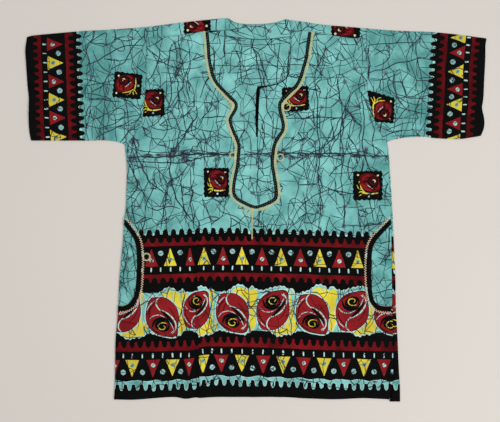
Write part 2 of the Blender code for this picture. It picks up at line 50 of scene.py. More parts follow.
WALL = 1.0
HALF = WALL / 2
GAP = 0.3
HALF_GAP = GAP / 2
BEND = (WALL + GAP) / 2
LOW_Z = WALL / 2
TOP_Z = LOW_Z + 2 * BEND
EDGE_INSET = BEND + WALL / 2
BEND_STEPS = 6

BINDING_WIDTH = 9.0
CUT_MARGIN = 0.5
BAG_LIFT = WALL + GAP
BAG_CLEAR = 5.0
BAG_FADE = 18.0
NECK_LIFT = 2.2
NECK_REACH = 16.0
SEAM_FADE = 16.0
FACING_DEPTH = 30.0
HEM_TUCK_UNDER = 1.5
SLIT_END_HALF = 0.7
CREASE_DEPTH = 1.5

EDGE_STEP = 3.0
LOOP_STEP = 4.5
CLOTH_GRID = 5.0
LINING_GRID = 16.0
CURVE_STEPS = 12
BLOB_SHARES = (0, 0.33, 0.67)
MERGE = 0.01
# How far past a cloth's outline its print is looked at, and how its loose points lie:
# rows apart, and free room beside the outline, as shares of their step.
PRINT_REACH = 2
ROW_SHARE = 0.87
RIM_SHARE = 0.45

# Edges and seams of the shirt, x and y, the same as the frame's.
SIDE_LEFT = (
    (-262, 129.5), (-260, 110), (-258, 79.5), (-259, 39.5), (-260.5, 0),
    (-264, -20.5), (-266, -60.5), (-270, -100.5), (-274, -150.5), (-276.5, -210.5),
    (-281, -265), (-282, -340.5), (-284, -379.5),
)
SIDE_RIGHT = (
    (262, 135.5), (264.5, 119.5), (268, 79.5), (271, 30), (274, -20.5), (276.5, -80.5),
    (279, -140.5), (280, -195), (283, -250), (286, -320.5), (288, -350), (288.6, -383.5),
)
WRAP_SEAM = (
    (264.5, 89.5), (268.2, 19.5), (270.4, -20.5), (272.5, -180.5), (274, -260.5),
    (274, -340.5), (267, -376.8),
)
ARM_LEFT = (
    (-219, 365.5), (-220, 299.5), (-221.2, 239.5), (-228, 183.5), (-244, 149.5),
    (-262, 129.5),
)
ARM_RIGHT = (
    (220, 363), (222, 299.5), (223, 235.5), (236.8, 179.5), (250, 151.5), (262, 135.5),
)
SHOULDER_FOLD_LEFT = (
    (-219, 365.5), (-188, 369.5), (-156, 373.5), (-124, 377.5), (-92, 380.5), (-62, 383.5),
)
SHOULDER_FOLD_RIGHT = (
    (220, 363), (180, 366.5), (132, 370.5), (100, 375.5), (70, 379.5),
)
SHOULDER_SEAM_LEFT = (
    (-219, 344), (-182, 346.5), (-144, 350.5), (-100, 357.5), (-62, 358.5),
)
SHOULDER_SEAM_RIGHT = (
    (220, 342.5), (186, 344), (152, 349.5), (110, 358), (70, 360.5),
)
BACK_NECK = (
    (-62, 383.5), (-54, 383), (-44, 376.5), (-28, 372.5), (4, 371.5), (36, 374.5),
    (52, 378.5), (60, 381.5), (70, 379.5),
)
NECK_LEFT = (
    (-62, 358.5), (-62, 311.5), (-58.5, 279.5), (-43, 256.5), (-20, 249.8), (2.4, 247.5),
)
NECK_RIGHT = (
    (5.6, 247.5), (22, 248), (48, 256), (64.5, 271.5), (69.5, 299.5), (70, 360.5),
)
SLIT_END = (1.0, 151.5)
HEM = (
    (-284, -379.5), (-242, -379.5), (-204, -376.5), (-162, -374.5), (-140, -378),
    (-112, -374.8), (-40, -374.5), (48, -374.5), (100, -377), (160, -378.5),
    (218, -376.8), (267, -379.2),
)
SLEEVE_TOP_LEFT = (
    (-219, 365.5), (-252, 363), (-300, 359.8), (-348, 357.5), (-396, 353.5),
    (-444, 349), (-458, 345.5),
)
SLEEVE_BOTTOM_LEFT = (
    (-262, 129.5), (-272, 134.5), (-300, 139), (-342, 138.5), (-400, 138.5), (-450, 138.5),
)
CUFF_LEFT = (
    (-458, 345.5), (-461, 321.5), (-460, 299.5), (-457, 249.5), (-454, 219.5),
    (-454, 165), (-450, 138.5),
)
SLEEVE_TOP_RIGHT = (
    (220, 363), (260, 359.5), (292, 357.8), (356, 355.2), (404, 350.5), (461, 343),
)
SLEEVE_BOTTOM_RIGHT = (
    (262, 135.5), (270, 139), (284, 142.5), (308, 145.5), (338, 146.5), (356, 143.5),
    (404, 141.5), (436, 145.5), (450, 148),
)
CUFF_RIGHT = (
    (461, 343), (458.5, 325), (458, 291.5), (454, 221.5), (452, 203.5), (456, 183),
    (456, 165), (450, 148),
)
BINDING_LEFT = (
    (-272, -18), (-263, -24.5), (-254, -35.3), (-244, -48.5), (-237.4, -61.7),
    (-234, -78), (-232.8, -100), (-233.4, -125), (-235.4, -155), (-240, -175),
    (-248, -189), (-260, -196), (-275, -197.7), (-288, -198),
)
BINDING_RIGHT = (
    (279, -16), (269.2, -23.7), (258, -35.3), (244.4, -49), (232.8, -64.5),
    (227.4, -81), (225.6, -105), (225.8, -135), (228, -167), (233, -184.5),
    (242.8, -194.5), (255, -197.7), (272.6, -197.9), (288, -198),
)
POCKET_BAG = (
    (1, -29), (26, -20), (58, -42), (72, -90), (74, -150), (62, -203), (34, -221),
    (11, -207), (1, -191.5),
)
NECK_BRAID = (
    (-98, 355), (-95.4, 329.1), (-93.6, 302.3), (-88.2, 275.5), (-80.2, 255.9),
    (-61.6, 235.1), (-42.5, 216), (-39.4, 206.5), (-43.2, 196.3), (-51, 183),
    (-50.6, 173), (-45.2, 157.5), (-37.2, 139.1), (-34, 126.5), (-35, 106.5),
    (-37.2, 86.1), (-41, 68), (-44.2, 49.3), (-44.2, 32.9), (-38.2, 22.7),
    (-22.8, 13.5), (-4, 5.6), (8, 7.3), (24.2, 13.5), (37.4, 21.7), (40.6, 34),
    (38.6, 51.3), (35.4, 72), (32.3, 92.1), (33.4, 110.5), (36.4, 128.9),
    (44.6, 145.3), (52.6, 157.5), (54.4, 169.7), (50.8, 186), (47.6, 200.3),
    (47.8, 212.5), (53.8, 221.7), (69, 237.1), (81.2, 249.3), (89.4, 265.5),
    (94.8, 284.5), (100, 302.3), (103.8, 329.1), (107.5, 355),
)

# Large folds of the frame: start x, y, end x, y, height at each end, reach left, right.
FOLDS = (
    (-112, -384, -118, -60, 4.2, 1.4, 4.5, 20),
    (-118, -60, -126, 330, 1.2, 0.7, 7, 8),
    (-250, 104, 252, 112, 0.9, 0.9, 7, 7),
    (4, 122, 6, -70, 0.7, 0.6, 9, 9),
    (170, -60, 150, -370, 1.0, 1.6, 34, 34),
    (-190, -60, -214, -370, 0.8, 1.2, 26, 26),
    (140, 320, 190, 60, 0.9, 0.6, 30, 30),
    (-150, 300, -215, 60, 0.7, 0.5, 26, 26),
    (-250, 300, -440, 306, 0.6, 1.8, 24, 30),
    (-262, 196, -450, 196, 1.2, 2.0, 26, 26),
    (260, 300, 440, 318, 0.8, 1.6, 26, 24),
    (290, 240, 440, 226, 0.8, 2.0, 24, 14),
    (268, 170, 440, 172, 0.9, 1.2, 18, 14),
)

# Small creases, in the same columns.
CREASES = (
    (-118, -56, -121, 60, 0.9, 0.5, 3, 9),
    (-186, 330, -192, 60, 0.5, 0.4, 5, 9),
    (-150, 250, -132, -40, 0.4, 0.5, 8, 5),
    (206, 330, 212, -30, 0.5, 0.4, 8, 5),
    (-70, 140, -86, -60, 0.4, 0.3, 7, 7),
    (96, 150, 104, -60, 0.35, 0.4, 7, 9),
    (-240, 96, -130, 116, 0.3, 0.4, 4, 6),
    (-40, 101, 120, 98, 0.4, 0.3, 5, 5),
    (150, 118, 240, 100, 0.4, 0.3, 5, 4),
    (62, -40, 50, -200, 0.3, 0.4, 10, 14),
    (-40, -60, -52, -260, 0.4, 0.3, 12, 9),
    (100, -160, 92, -372, 0.4, 0.6, 16, 12),
    (-10, -240, -2, -372, 0.3, 0.6, 14, 14),
    (220, -220, 232, -372, 0.4, 0.6, 16, 12),
    (-240, -230, -250, -372, 0.4, 0.7, 12, 16),
    (-140, -280, -150, -372, 0.3, 0.7, 8, 12),
    (40, -300, 46, -372, 0.2, 0.5, 9, 12),
    (-330, 330, -344, 160, 0.4, 0.6, 12, 8),
    (-400, 340, -396, 150, 0.5, 0.5, 9, 14),
    (-290, 250, -380, 232, 0.4, 0.5, 9, 7),
    (-250, 170, -330, 150, 0.5, 0.3, 6, 9),
    (330, 340, 340, 160, 0.4, 0.5, 9, 12),
    (398, 340, 392, 150, 0.6, 0.5, 12, 8),
    (300, 268, 400, 262, 0.4, 0.4, 8, 8),
    (250, 200, 300, 150, 0.5, 0.3, 7, 9),
    (-215, 210, -160, 150, 0.5, 0.2, 6, 12),
    (215, 205, 170, 140, 0.4, 0.2, 12, 6),
)

# Inks of the print. The first is the ground.
INKS = ("turquoise", "black", "red", "yellow", "cream", "crackle", "wine", "pale",
        "deep_red", "haze", "washed")
(TURQUOISE, BLACK, RED, YELLOW, CREAM, CRACKLE, WINE, PALE, DEEP_RED, HAZE,
 WASHED) = range(len(INKS))
LIGHT_INKS = (TURQUOISE, YELLOW, PALE, CREAM, HAZE, WASHED)

# Line of the tuck in the chart, from top to bottom. The print is displaced across it.
TUCK = ((197.0, 239.75), (200.0, 402.0))


def between(a, b, c, d, t):
    """Place at share t of a smooth curve from b to c, with a before it and d after."""
    return 0.5 * (2 * b + (c - a) * t + (2 * a - 5 * b + 4 * c - d) * t * t
                  + (3 * b - 3 * c + d - a) * t ** 3)


def smooth_path(points, step):
    """Curve through the points with stations about a step apart, ends kept."""
    given = np.array(points, dtype=float)
    ends = np.vstack([2 * given[0] - given[1], given, 2 * given[-1] - given[-2]])
    fine = [between(*ends[i:i + 4], t) for i in range(len(given) - 1)
            for t in np.linspace(0, 1, CURVE_STEPS, endpoint=False)]
    return resample(np.array(fine + [given[-1]]), step)


def resample(path, step):
    """The same path with evenly spaced stations."""
    lengths = np.hypot(*np.diff(path, axis=0).T)
    along = np.concatenate([[0], np.cumsum(lengths)])
    count = max(2, int(round(along[-1] / step)) + 1)
    stations = np.linspace(0, along[-1], count)
    return np.column_stack([np.interp(stations, along, path[:, k]) for k in (0, 1)])


def x_at(table, y):
    """Edge's x where it passes the given y, for an edge that runs up or down."""
    path = smooth_path(table, EDGE_STEP)
    order = np.argsort(path[:, 1])
    return np.interp(y, path[order, 1], path[order, 0])


def y_at(table, x):
    """Edge's y where it passes the given x, for an edge that runs across."""
    path = smooth_path(table, EDGE_STEP)
    order = np.argsort(path[:, 0])
    return np.interp(x, path[order, 0], path[order, 1])


def sideways(path):
    """Unit vectors to the left of a path's own direction."""
    ahead = np.gradient(path, axis=0)
    ahead /= np.maximum(np.hypot(ahead[:, 0], ahead[:, 1]), 1e-9)[:, None]
    return np.column_stack([-ahead[:, 1], ahead[:, 0]])


def offset_path(path, distance):
    """Path moved sideways, to the left of its own direction when positive."""
    return path + distance * sideways(path)


def path_distance(points, path):
    """Distance of each point to the nearest place on an open path."""
    best = np.full(len(points), 1e9)
    for a, b in zip(path[:-1], path[1:]):
        along = b - a
        t = np.clip(((points - a) @ along) / (along @ along), 0, 1)
        near = a + t[:, None] * along
        best = np.minimum(best, np.hypot(*(points - near).T))
    return best


def inside(points, loop):
    """Which points lie within a closed outline."""
    result = np.zeros(len(points), dtype=bool)
    x, y = points[:, 0], points[:, 1]
    for a, b in zip(loop, np.roll(loop, -1, axis=0)):
        if a[1] == b[1]:
            continue
        crosses = (a[1] > y) != (b[1] > y)
        cut = a[0] + (y - a[1]) * (b[0] - a[0]) / (b[1] - a[1])
        result ^= crosses & (x < cut)
    return result


def ease(value):
    """Smooth rise from 0 to 1."""
    t = np.clip(value, 0, 1)
    return t * t * (3 - 2 * t)


def fold_height(points, table):
    """Sum of the folds' heights at each point."""
    total = np.zeros(len(points))
    for x0, y0, x1, y1, h0, h1, reach_left, reach_right in table:
        start = np.array((x0, y0), dtype=float)
        along = np.array((x1, y1), dtype=float) - start
        t = np.clip(((points - start) @ along) / (along @ along), 0, 1)
        off = points - (start + t[:, None] * along)
        side = along[0] * off[:, 1] - along[1] * off[:, 0]
        reach = np.where(side > 0, reach_left, reach_right)
        distance = np.hypot(off[:, 0], off[:, 1])
        total += (h0 + (h1 - h0) * t) * np.exp(-(distance / reach) ** 2)
    return total


def side_edge(side, y):
    """The front's own edge beside a pocket: the side fold, or the wrapped seam."""
    if side < 0:
        return x_at(SIDE_LEFT, y)
    return x_at(WRAP_SEAM, y) - HALF_GAP


def pocket_opening(side):
    """Front's cut edge round a pocket opening, kept to what lies on the body."""
    binding = smooth_path(BINDING_LEFT if side < 0 else BINDING_RIGHT, LOOP_STEP)
    cut = offset_path(binding, side * (BINDING_WIDTH / 2 + CUT_MARGIN))
    keep = side * (side_edge(side, cut[:, 1]) - cut[:, 0]) > 1.0
    return cut[keep]


def pocket_outline(side):
    """Closed outline of the pocket piece between the two layers."""
    table = [(side_edge(side, y) - side * depth, y) for depth, y in POCKET_BAG]
    inner = smooth_path(table, LOOP_STEP)
    ys = np.linspace(table[-1][1], table[0][1], 36)[1:-1]
    outer = np.column_stack([[side_edge(side, y) - side * 0.2 for y in ys], ys])
    return np.vstack([inner, outer])


def seam_lines():
    """Paths of the front's seams, where its folds die away."""
    left = np.vstack([ARM_LEFT, SIDE_LEFT[1:]])
    upper = [p for p in SIDE_RIGHT if p[1] > WRAP_SEAM[0][1]]
    right = np.vstack([ARM_RIGHT, upper[1:], WRAP_SEAM])
    return [np.array(p, dtype=float) for p in
            (left, right, SHOULDER_SEAM_LEFT, SHOULDER_SEAM_RIGHT)]


def front_z(points):
    """Height of the middle of the front's cloth, creases included."""
    seam = np.min([path_distance(points, line) for line in seam_lines()], axis=0)
    fade = ease(seam / SEAM_FADE)
    opening = np.vstack([NECK_LEFT, [SLIT_END], NECK_RIGHT]).astype(float)
    neck = NECK_LIFT * np.exp(-(path_distance(points, opening) / NECK_REACH) ** 2)
    lift = np.zeros(len(points))
    for side in (-1, 1):
        bag = pocket_outline(side)
        away = path_distance(points, np.vstack([bag, bag[:1]]))
        away[inside(points, bag)] = 0
        near = 1 - ease((away - BAG_CLEAR) / (BAG_FADE - BAG_CLEAR))
        lift = np.maximum(lift, BAG_LIFT * near)
    creases = fold_height(points, FOLDS) + CREASE_DEPTH * fold_height(points, CREASES)
    return TOP_Z + fade * (creases + neck) + lift


def blob(points):
    """Closed smooth outline through a few points."""
    given = np.array(points, dtype=float)
    count = len(given)
    return np.array([between(*(given[(i + k) % count] for k in (-1, 0, 1, 2)), t)
                     for i in range(count) for t in BLOB_SHARES])


def ring(u, v, across, down, count=10):
    """Outline of a dot."""
    turn = np.linspace(0, 2 * math.pi, count, endpoint=False)
    return np.column_stack([u + across * np.cos(turn), v + down * np.sin(turn)])


def brush(points, width, tip=0.25, step=1.6):
    """Outline of a line drawn with a brush, thin at both ends."""
    path = smooth_path(points, step)
    share = np.linspace(0, 1, len(path))
    half = width / 2 * (tip + (1 - tip) * np.sin(math.pi * np.clip(share, 0.02, 0.98)) ** 0.5)
    side = sideways(path) * half[:, None]
    return np.vstack([path + side, (path - side)[::-1]])


def to_cloth(chart):
    """Places on the cloth, x and y in millimetres, of places in the chart."""
    squares = np.array(chart, dtype=float)
    return np.column_stack([(squares[:, 0] - CHART_U) * SQUARE,
                            (CHART_V - squares[:, 1]) * SQUARE])


class Print:
    """A cloth's print: shapes in the order they are laid on, later over earlier."""

    def __init__(self, ground=TURQUOISE):
        self.ground = ground
        self.shapes = []

    def lay(self, ink, outline, over=None, part=0):
        """Adds a shape in chart squares. part -1 or 1 keeps it left or right of the tuck."""
        self.shapes.append((ink, to_cloth(outline), over, part))

    def inks_at(self, centres):
        """Ink of each place on the cloth."""
        inks = np.full(len(centres), self.ground)
        order = np.argsort(centres[:, 0])
        ranked = centres[order, 0]
        right = right_of_tuck(centres)
        for ink, outline, over, part in self.shapes:
            low, high = outline.min(axis=0), outline.max(axis=0)
            first, last = np.searchsorted(ranked, (low[0], high[0]))
            near = order[first:last]
            near = near[(centres[near, 1] > low[1]) & (centres[near, 1] < high[1])]
            if part:
                near = near[right[near] == (part > 0)]
            hit = near[inside(centres[near], outline)]
            if over is not None:
                hit = hit[np.isin(inks[hit], over)]
            inks[hit] = ink
        return inks


def right_of_tuck(points):
    """Which places lie to the right of the tuck."""
    line = to_cloth(TUCK)
    return points[:, 0] > np.interp(points[:, 1], line[::-1, 1], line[::-1, 0])


def uneven(outline, random, amount=0.22):
    """A shape's outline as wax leaves it, never quite even."""
    return outline + random.uniform(-amount, amount, outline.shape)


def comb(place, first, last, foot, top, tip, pitch, width, random, phase=0.0):
    """Band with rounded teeth on one side. Depths run down into the border."""
    steps = np.arange(first + phase, last, pitch)
    points = [(first, foot), (first, top)]
    for s in steps:
        lean = random.uniform(-0.3, 0.3)
        reach = tip + random.uniform(-0.5, 0.5)
        rise = reach - top
        for side in (-1, 1):
            half = [(side * pitch * 0.46, top), (side * pitch * 0.33, top + rise * 0.08),
                    (side * (width * 0.5 + 0.5), top + rise * 0.34),
                    (side * width * 0.46 + lean * 0.6, top + rise * 0.6),
                    (side * width * 0.5 + lean, top + rise * 0.88),
                    (side * width * 0.2 + lean, reach)]
            points += [(s + a, d) for a, d in half[::-side]]
    points += [(last, top), (last, foot)]
    back = np.arange(last, first, -4.0)
    points += [(s, foot + random.uniform(-0.3, 0.3)) for s in back[1:]]
    return np.array([place(s, d) for s, d in points])


def drips(place, first, last, crest, end, far, pitch, random, phase=0.0):
    """Black band whose near edge is rounded heads with drips of the ground between."""
    points = [(first, far), (first, crest + 1)]
    ends = []
    for s in np.arange(first + phase, last - 2, pitch):
        deep = end + random.uniform(-0.6, 0.6)
        ends.append((s, deep))
        points += [(s - 2.3, crest + 0.7), (s - 1.6, crest + 2.2), (s - 1.35, deep - 1.5),
                   (s - 0.8, deep - 0.3), (s + 0.8, deep - 0.3), (s + 1.35, deep - 1.5),
                   (s + 1.6, crest + 2.2), (s + 2.3, crest + 0.7),
                   (s + 3.2, crest + random.uniform(-0.3, 0.2)),
                   (s + pitch - 3.2, crest + random.uniform(-0.3, 0.2))]
    points += [(last, crest + 1), (last, far)]
    return np.array([place(s, d) for s, d in points]), ends


def border(cloth, place, span, teeth, marks, depth, seed, part=0):
    """One border: drips, comb, triangles with dots, dashes, and a second comb."""
    random = np.random.default_rng(seed)
    first, last = span
    pitch, phase = teeth
    black, ends = drips(place, first, last, depth["crest"], depth["drip"], depth["far"],
                        depth["drip pitch"], random, depth["drip phase"])
    cloth.lay(BLACK, black, part=part)
    for s, d in ends:
        cloth.lay(PALE, ring(*place(s, d - 1.4), 1.35, 1.5, 8), over=(TURQUOISE,), part=part)
        if random.uniform() < 0.6:
            cloth.lay(CRACKLE, ring(*place(s + 0.1, d - 1.6), 0.55, 0.7, 6), over=(PALE,),
                      part=part)
    cloth.lay(DEEP_RED, comb(place, first, last, depth["comb foot"], depth["comb top"],
                             depth["comb tip"], pitch, 2.4, random, phase), part=part)
    triangles(cloth, place, marks, depth, random, part)
    cloth.lay(DEEP_RED, comb(place, first, last, depth["outer foot"], depth["outer top"],
                             depth["outer tip"], pitch, 2.6, random, phase + 2.0), part=part)


def triangles(cloth, place, marks, depth, random, part=0):
    """Row of red and yellow triangles with a dot in each, dots and dashes between."""
    apex, base = depth["apex"], depth["base"]
    centres = [m[0] for m in marks]
    for (s, ink, half), after in zip(marks, centres[1:] + [None]):
        shape = [(s - half, base), (s - half * 0.52, base - (base - apex) * 0.48),
                 (s - 0.35, apex), (s + 0.35, apex),
                 (s + half * 0.52, base - (base - apex) * 0.48), (s + half, base),
                 (s, base + 0.1)]
        shape = np.array([place(a, d) for a, d in shape])
        cloth.lay(ink, uneven(shape, random, 0.35), part=part)
        narrow = half / 6.8
        spot = ring(*place(s + 0.2, depth["spot"]), 2.1 * narrow, 2.1, 10)
        cloth.lay(PALE if ink == RED else TURQUOISE, uneven(spot, random, 0.2), part=part)
        u, v = spot.mean(axis=0)
        cloth.lay(CRACKLE, brush([(u - 1.6, v + 1.2), (u, v - 0.2), (u + 1.4, v - 1.4)], 0.6,
                                 0.7, 1.5), over=(PALE, TURQUOISE), part=part)
        dash = [s] if after is None else [s, (s + after) / 2]
        for c in dash:
            ends = [place(c + random.uniform(-0.3, 0.3), depth["dash"][k]) for k in (0, 1)]
            cloth.lay(PALE, brush(ends, random.uniform(1.1, 1.8), 0.6, 1.3), part=part)
        if after is not None:
            c = (s + after) / 2
            wide = min(2.6, abs(after - s) * 0.15)
            u, v = place(c, depth["bead"])
            cloth.lay(WASHED, uneven(ring(u, v, wide, 2.6, 12), random, 0.25), part=part)
            du, dv = random.uniform(-2.6, 2.6, 2)
            cloth.lay(CRACKLE, brush([(u - du, v - dv), (u + 0.4, v), (u + du, v + dv)],
                                     random.uniform(0.5, 0.8), 0.7, 1.5), over=(WASHED,))


UPPER = {
    "crest": -16.2, "drip": -10.5, "far": 47.0, "drip pitch": 8.05, "drip phase": 1.2,
    "comb foot": 0.5, "comb top": -2.6, "comb tip": -7.6,
    "apex": 3.2, "base": 20.5, "spot": 14.5, "bead": 7.4, "dash": (21.8, 26.0),
    "outer foot": 28.6, "outer top": 32.0, "outer tip": 37.0,
}
CUFF = dict(UPPER, base=18.3, spot=13.0, dash=(19.4, 23.2), far=44.0)
CUFF.update({"outer foot": 24.6, "outer top": 27.6, "outer tip": 32.0, "drip pitch": 7.45})

# Red base line of the upper border, u and v, and its triangles: u, ink, half width.
UPPER_LEFT_LINE = ((112, 246.6), (150, 246), (185, 245), (201, 244.6))
UPPER_RIGHT_LINE = ((195, 244), (240, 244), (300, 245.5), (360, 247.5), (400, 248))
UPPER_LEFT_MARKS = (
    (132.5, YELLOW, 6.6), (151.5, RED, 6.8), (170.5, YELLOW, 6.6), (190, RED, 4.6),
)
UPPER_RIGHT_MARKS = (
    (204, YELLOW, 6.4), (223, RED, 7), (242, YELLOW, 6.7), (262, RED, 6.8),
    (281, YELLOW, 6.6), (300.5, RED, 7), (319.5, YELLOW, 6.7), (339, RED, 6.8),
    (357.5, YELLOW, 6.2), (377, RED, 6.4), (396, YELLOW, 5),
)

LOWER = {
    "comb foot": 0.2, "comb top": -3.2, "comb tip": -9.6,
    "apex": 25.6, "base": 8.6, "spot": 14.2, "bead": 21.0, "dash": (2.4, 7.0),
}
LOWER_LEFT_LINE = ((112, 351.5), (150, 351), (188, 350.2), (195, 349.4), (201, 348))
LOWER_RIGHT_LINE = (
    (196, 347.4), (204, 346), (215, 346), (260, 347), (320, 349.5), (360, 350.5), (400, 351),
)
LOWER_LEFT_MARKS = (
    (114.5, RED, 5.6), (132.3, YELLOW, 7), (153, RED, 7), (172.5, YELLOW, 7),
    (189, RED, 5.6),
)
LOWER_RIGHT_MARKS = (
    (203, YELLOW, 6.4), (221.5, RED, 7.2), (242, YELLOW, 7.2), (263, RED, 7.2),
    (283, YELLOW, 7), (303.5, RED, 7.2), (324, YELLOW, 7), (343.5, RED, 7.2),
    (364, YELLOW, 7), (384, RED, 6.6), (402, YELLOW, 5),
)


def along_line(line):
    """Place in the border as a function of the way along it and the depth."""
    table = np.array(line, dtype=float)

    def place(s, d):
        return s, np.interp(s, table[:, 0], table[:, 1]) + d
    return place


def upper_border(cloth, line, span, marks, seed, part=0):
    """The border under the chest."""
    border(cloth, along_line(line), span, (8.3, 3.5), marks, UPPER, seed, part)


def lower_border(cloth, line, span, marks, seed, part=0):
    """The border above the hem: comb, hanging triangles and a dripping wave."""
    random = np.random.default_rng(seed)
    place = along_line(line)
    first, last = span
    cloth.lay(BLACK, [place(first, -18), place(last, -18), place(last, 60),
                      place(first, 60)], part=part)
    cloth.lay(DEEP_RED, comb(place, first, last, LOWER["comb foot"], LOWER["comb top"],
                             LOWER["comb tip"], 8.1, 2.7, random, 4.0), part=part)
    triangles(cloth, place, marks, LOWER, random, part)
    crest = [(s, 30.0 + 0.7 * math.sin(s * 0.31) + random.uniform(-0.4, 0.4))
             for s in np.arange(first, last, 3.0)]
    feet = [(s, 39.1 + random.uniform(-0.6, 0.8)) for s in np.arange(last - 3.5, first, -8.1)]
    for ink, rim in ((PALE, 0.45), (TURQUOISE, 0.0)):
        points = [(s, d - rim) for s, d in crest]
        for s, deep in feet:
            points += [(s + 3.4, 32.4 + rim), (s + 1.8 + rim, 33.6),
                       (s + 1.3 + rim, deep - 1.5), (s + 0.8, deep - 0.3 + rim),
                       (s - 0.8, deep - 0.2 + rim), (s - 1.3 - rim, deep - 1.4),
                       (s - 1.8 - rim, 33.8), (s - 3.3, 32.6 + rim)]
        cloth.lay(ink, [place(s, d) for s, d in points], part=part)


def turned(points, centre, across=1.0, down=1.0, turn=0.0):
    """A motif's points, scaled, turned clockwise by degrees and put in its place."""
    p = np.array(points, dtype=float) * (across, down)
    c, s = math.cos(math.radians(turn)), math.sin(math.radians(turn))
    return np.column_stack([p[:, 0] * c - p[:, 1] * s, p[:, 0] * s + p[:, 1] * c]) + centre


def rose(cloth, centre, across=1.0, down=1.0, part=0):
    """Full rose of the wide band: petals round a dark swirl, with pale veins."""
    def put(ink, outline, over=None):
        cloth.lay(ink, turned(outline, centre, across, down), over, part)

    body = blob([(-5, -18), (-12, -16.5), (-16, -8), (-17, 3), (-14, 12), (-6, 19),
                 (3, 21.3), (10, 22), (14.4, 19), (15, 11), (16, 2), (13.4, -8),
                 (7, -14.6), (1, -17.6)])
    put(PALE, body * 1.065)
    put(BLACK, body * 1.012)
    put(RED, body * 0.975)
    put(BLACK, brush([(-7, -13), (-13, -6), (-15, 2)], 1.0))
    put(PALE, brush([(-3.6, -17.8), (-6.4, -14.5), (-6.4, -10), (-4, -6), (-0.6, -3.2)], 1.2))
    put(PALE, brush([(-8.6, -14.2), (-13, -10), (-16.2, -4.6)], 0.8))
    put(PALE, brush([(-14.8, 6), (-11, 1.6), (-6, 0), (-2, 0.4), (2.4, 2.6)], 0.7))
    put(PALE, brush([(-2, -5), (3, -2.7), (8, 1.1), (11.6, 6), (13, 10), (12.6, 14.2),
                     (9.6, 18.6)], 1.3))
    put(PALE, brush([(1, -1.6), (5, 3.8), (8.4, 9.6), (10.6, 14.4)], 0.8))
    put(BLACK, brush([(-1.7, -4.1), (2, -1), (6.5, 4), (9.5, 8), (11.2, 11)], 3.0))
    put(BLACK, brush([(-10.6, 12), (-8.2, 6), (-2, 3.4), (4, 5.4), (7.6, 10)], 2.8))
    put(BLACK, blob([(-8.2, 9.6), (-5, 5.2), (0, 4.2), (3.6, 7.4), (6.6, 11), (5.6, 15),
                     (1, 16.8), (-5, 15.4)]))
    put(RED, brush([(-5.4, 14), (-3, 16.6), (1, 17.8), (5.6, 17)], 1.6))
    put(RED, brush([(1.8, 6.6), (4.2, 9.4), (4.6, 12.2)], 1.3))
    put(YELLOW, brush([(3.4, 8.6), (0.4, 7.6), (-3.2, 8.6), (-4.6, 11.4), (-2.8, 14.0),
                       (0.6, 14.4), (2.4, 12.4), (0.8, 10.6)], 1.0, 0.3))
    put(BLACK, brush([(-12, 12), (-8, 16), (-2, 18.6)], 1.0))
    put(WINE, brush([(5, -8), (10, -2), (13, 6)], 0.9))
    put(PALE, brush([(8, 18), (11, 15.6)], 0.9))


# Black lines at the edges of the neck opening and slit, partly black thread and partly painted
# shadow where the front's edge stands over the back: width, then chart places.
NECK_EDGES = (
    (2.6, ((267, 86.4), (263, 86.9), (259.6, 87.6), (257.6, 90), (257, 100), (256.6, 115),
           (257, 128), (256.8, 137))),
    (1.6, ((258.6, 88), (258.4, 100), (257.6, 118), (257, 134))),
    (1.1, ((264, 86.8), (272, 85.6), (280, 82.8), (286, 78.6), (289.6, 72))),
    (1.9, ((209, 31.8), (217, 30.8), (224, 29.8))),
    (1.5, ((224.6, 30), (225.2, 38), (224.4, 45), (224, 50), (225, 57))),
    (0.8, ((225, 57), (226, 66), (229, 74))),
)

# Edges of the light ground behind the roses, over one repeat of 80: offset u, and v.
CLOUD_TOP = (
    (-17, 297), (-12, 292), (-5, 290.5), (0, 287), (3, 284.7), (7, 284), (12, 286),
    (15, 289.5), (17, 287), (20, 285.5), (22, 288.5), (28, 290), (31, 290), (36, 288),
    (43, 286.5), (48, 285.5), (53, 287), (56, 289.5), (58, 287.5), (61, 290), (63, 297),
)
CLOUD_FOOT = (
    (-17, 331), (-13, 330), (-8, 331.5), (0, 332.5), (5, 333.5), (12, 335), (15, 333),
    (18, 332), (21, 328), (24, 322.5), (28, 327), (33, 329.5), (37, 331.5), (40, 334),
    (44, 336.5), (48, 336.5), (53, 334.5), (57, 335), (63, 332),
)
# Yellow fields of that ground in one repeat, as offsets from a rose's centre.
YELLOWS = (
    ((-2, -18), (3, -23), (11, -23), (16, -20.4), (21, -22), (25, -18), (23.4, -12),
     (21.4, -2), (23, 10), (20.4, 20), (16.4, 20.4), (15, 14), (17, 6), (16.4, -4),
     (12, -11), (6, -15.6)),
    ((35, 20), (42, 14), (49, 11), (54, 0), (57, -3), (60.6, 6), (64, 13), (63, 19),
     (57, 22.6), (50, 24), (42, 23)),
    ((56.6, -21), (60.6, -21), (62, -13), (60, -5), (60.4, 4), (57.4, 2), (56.6, -9)),
)


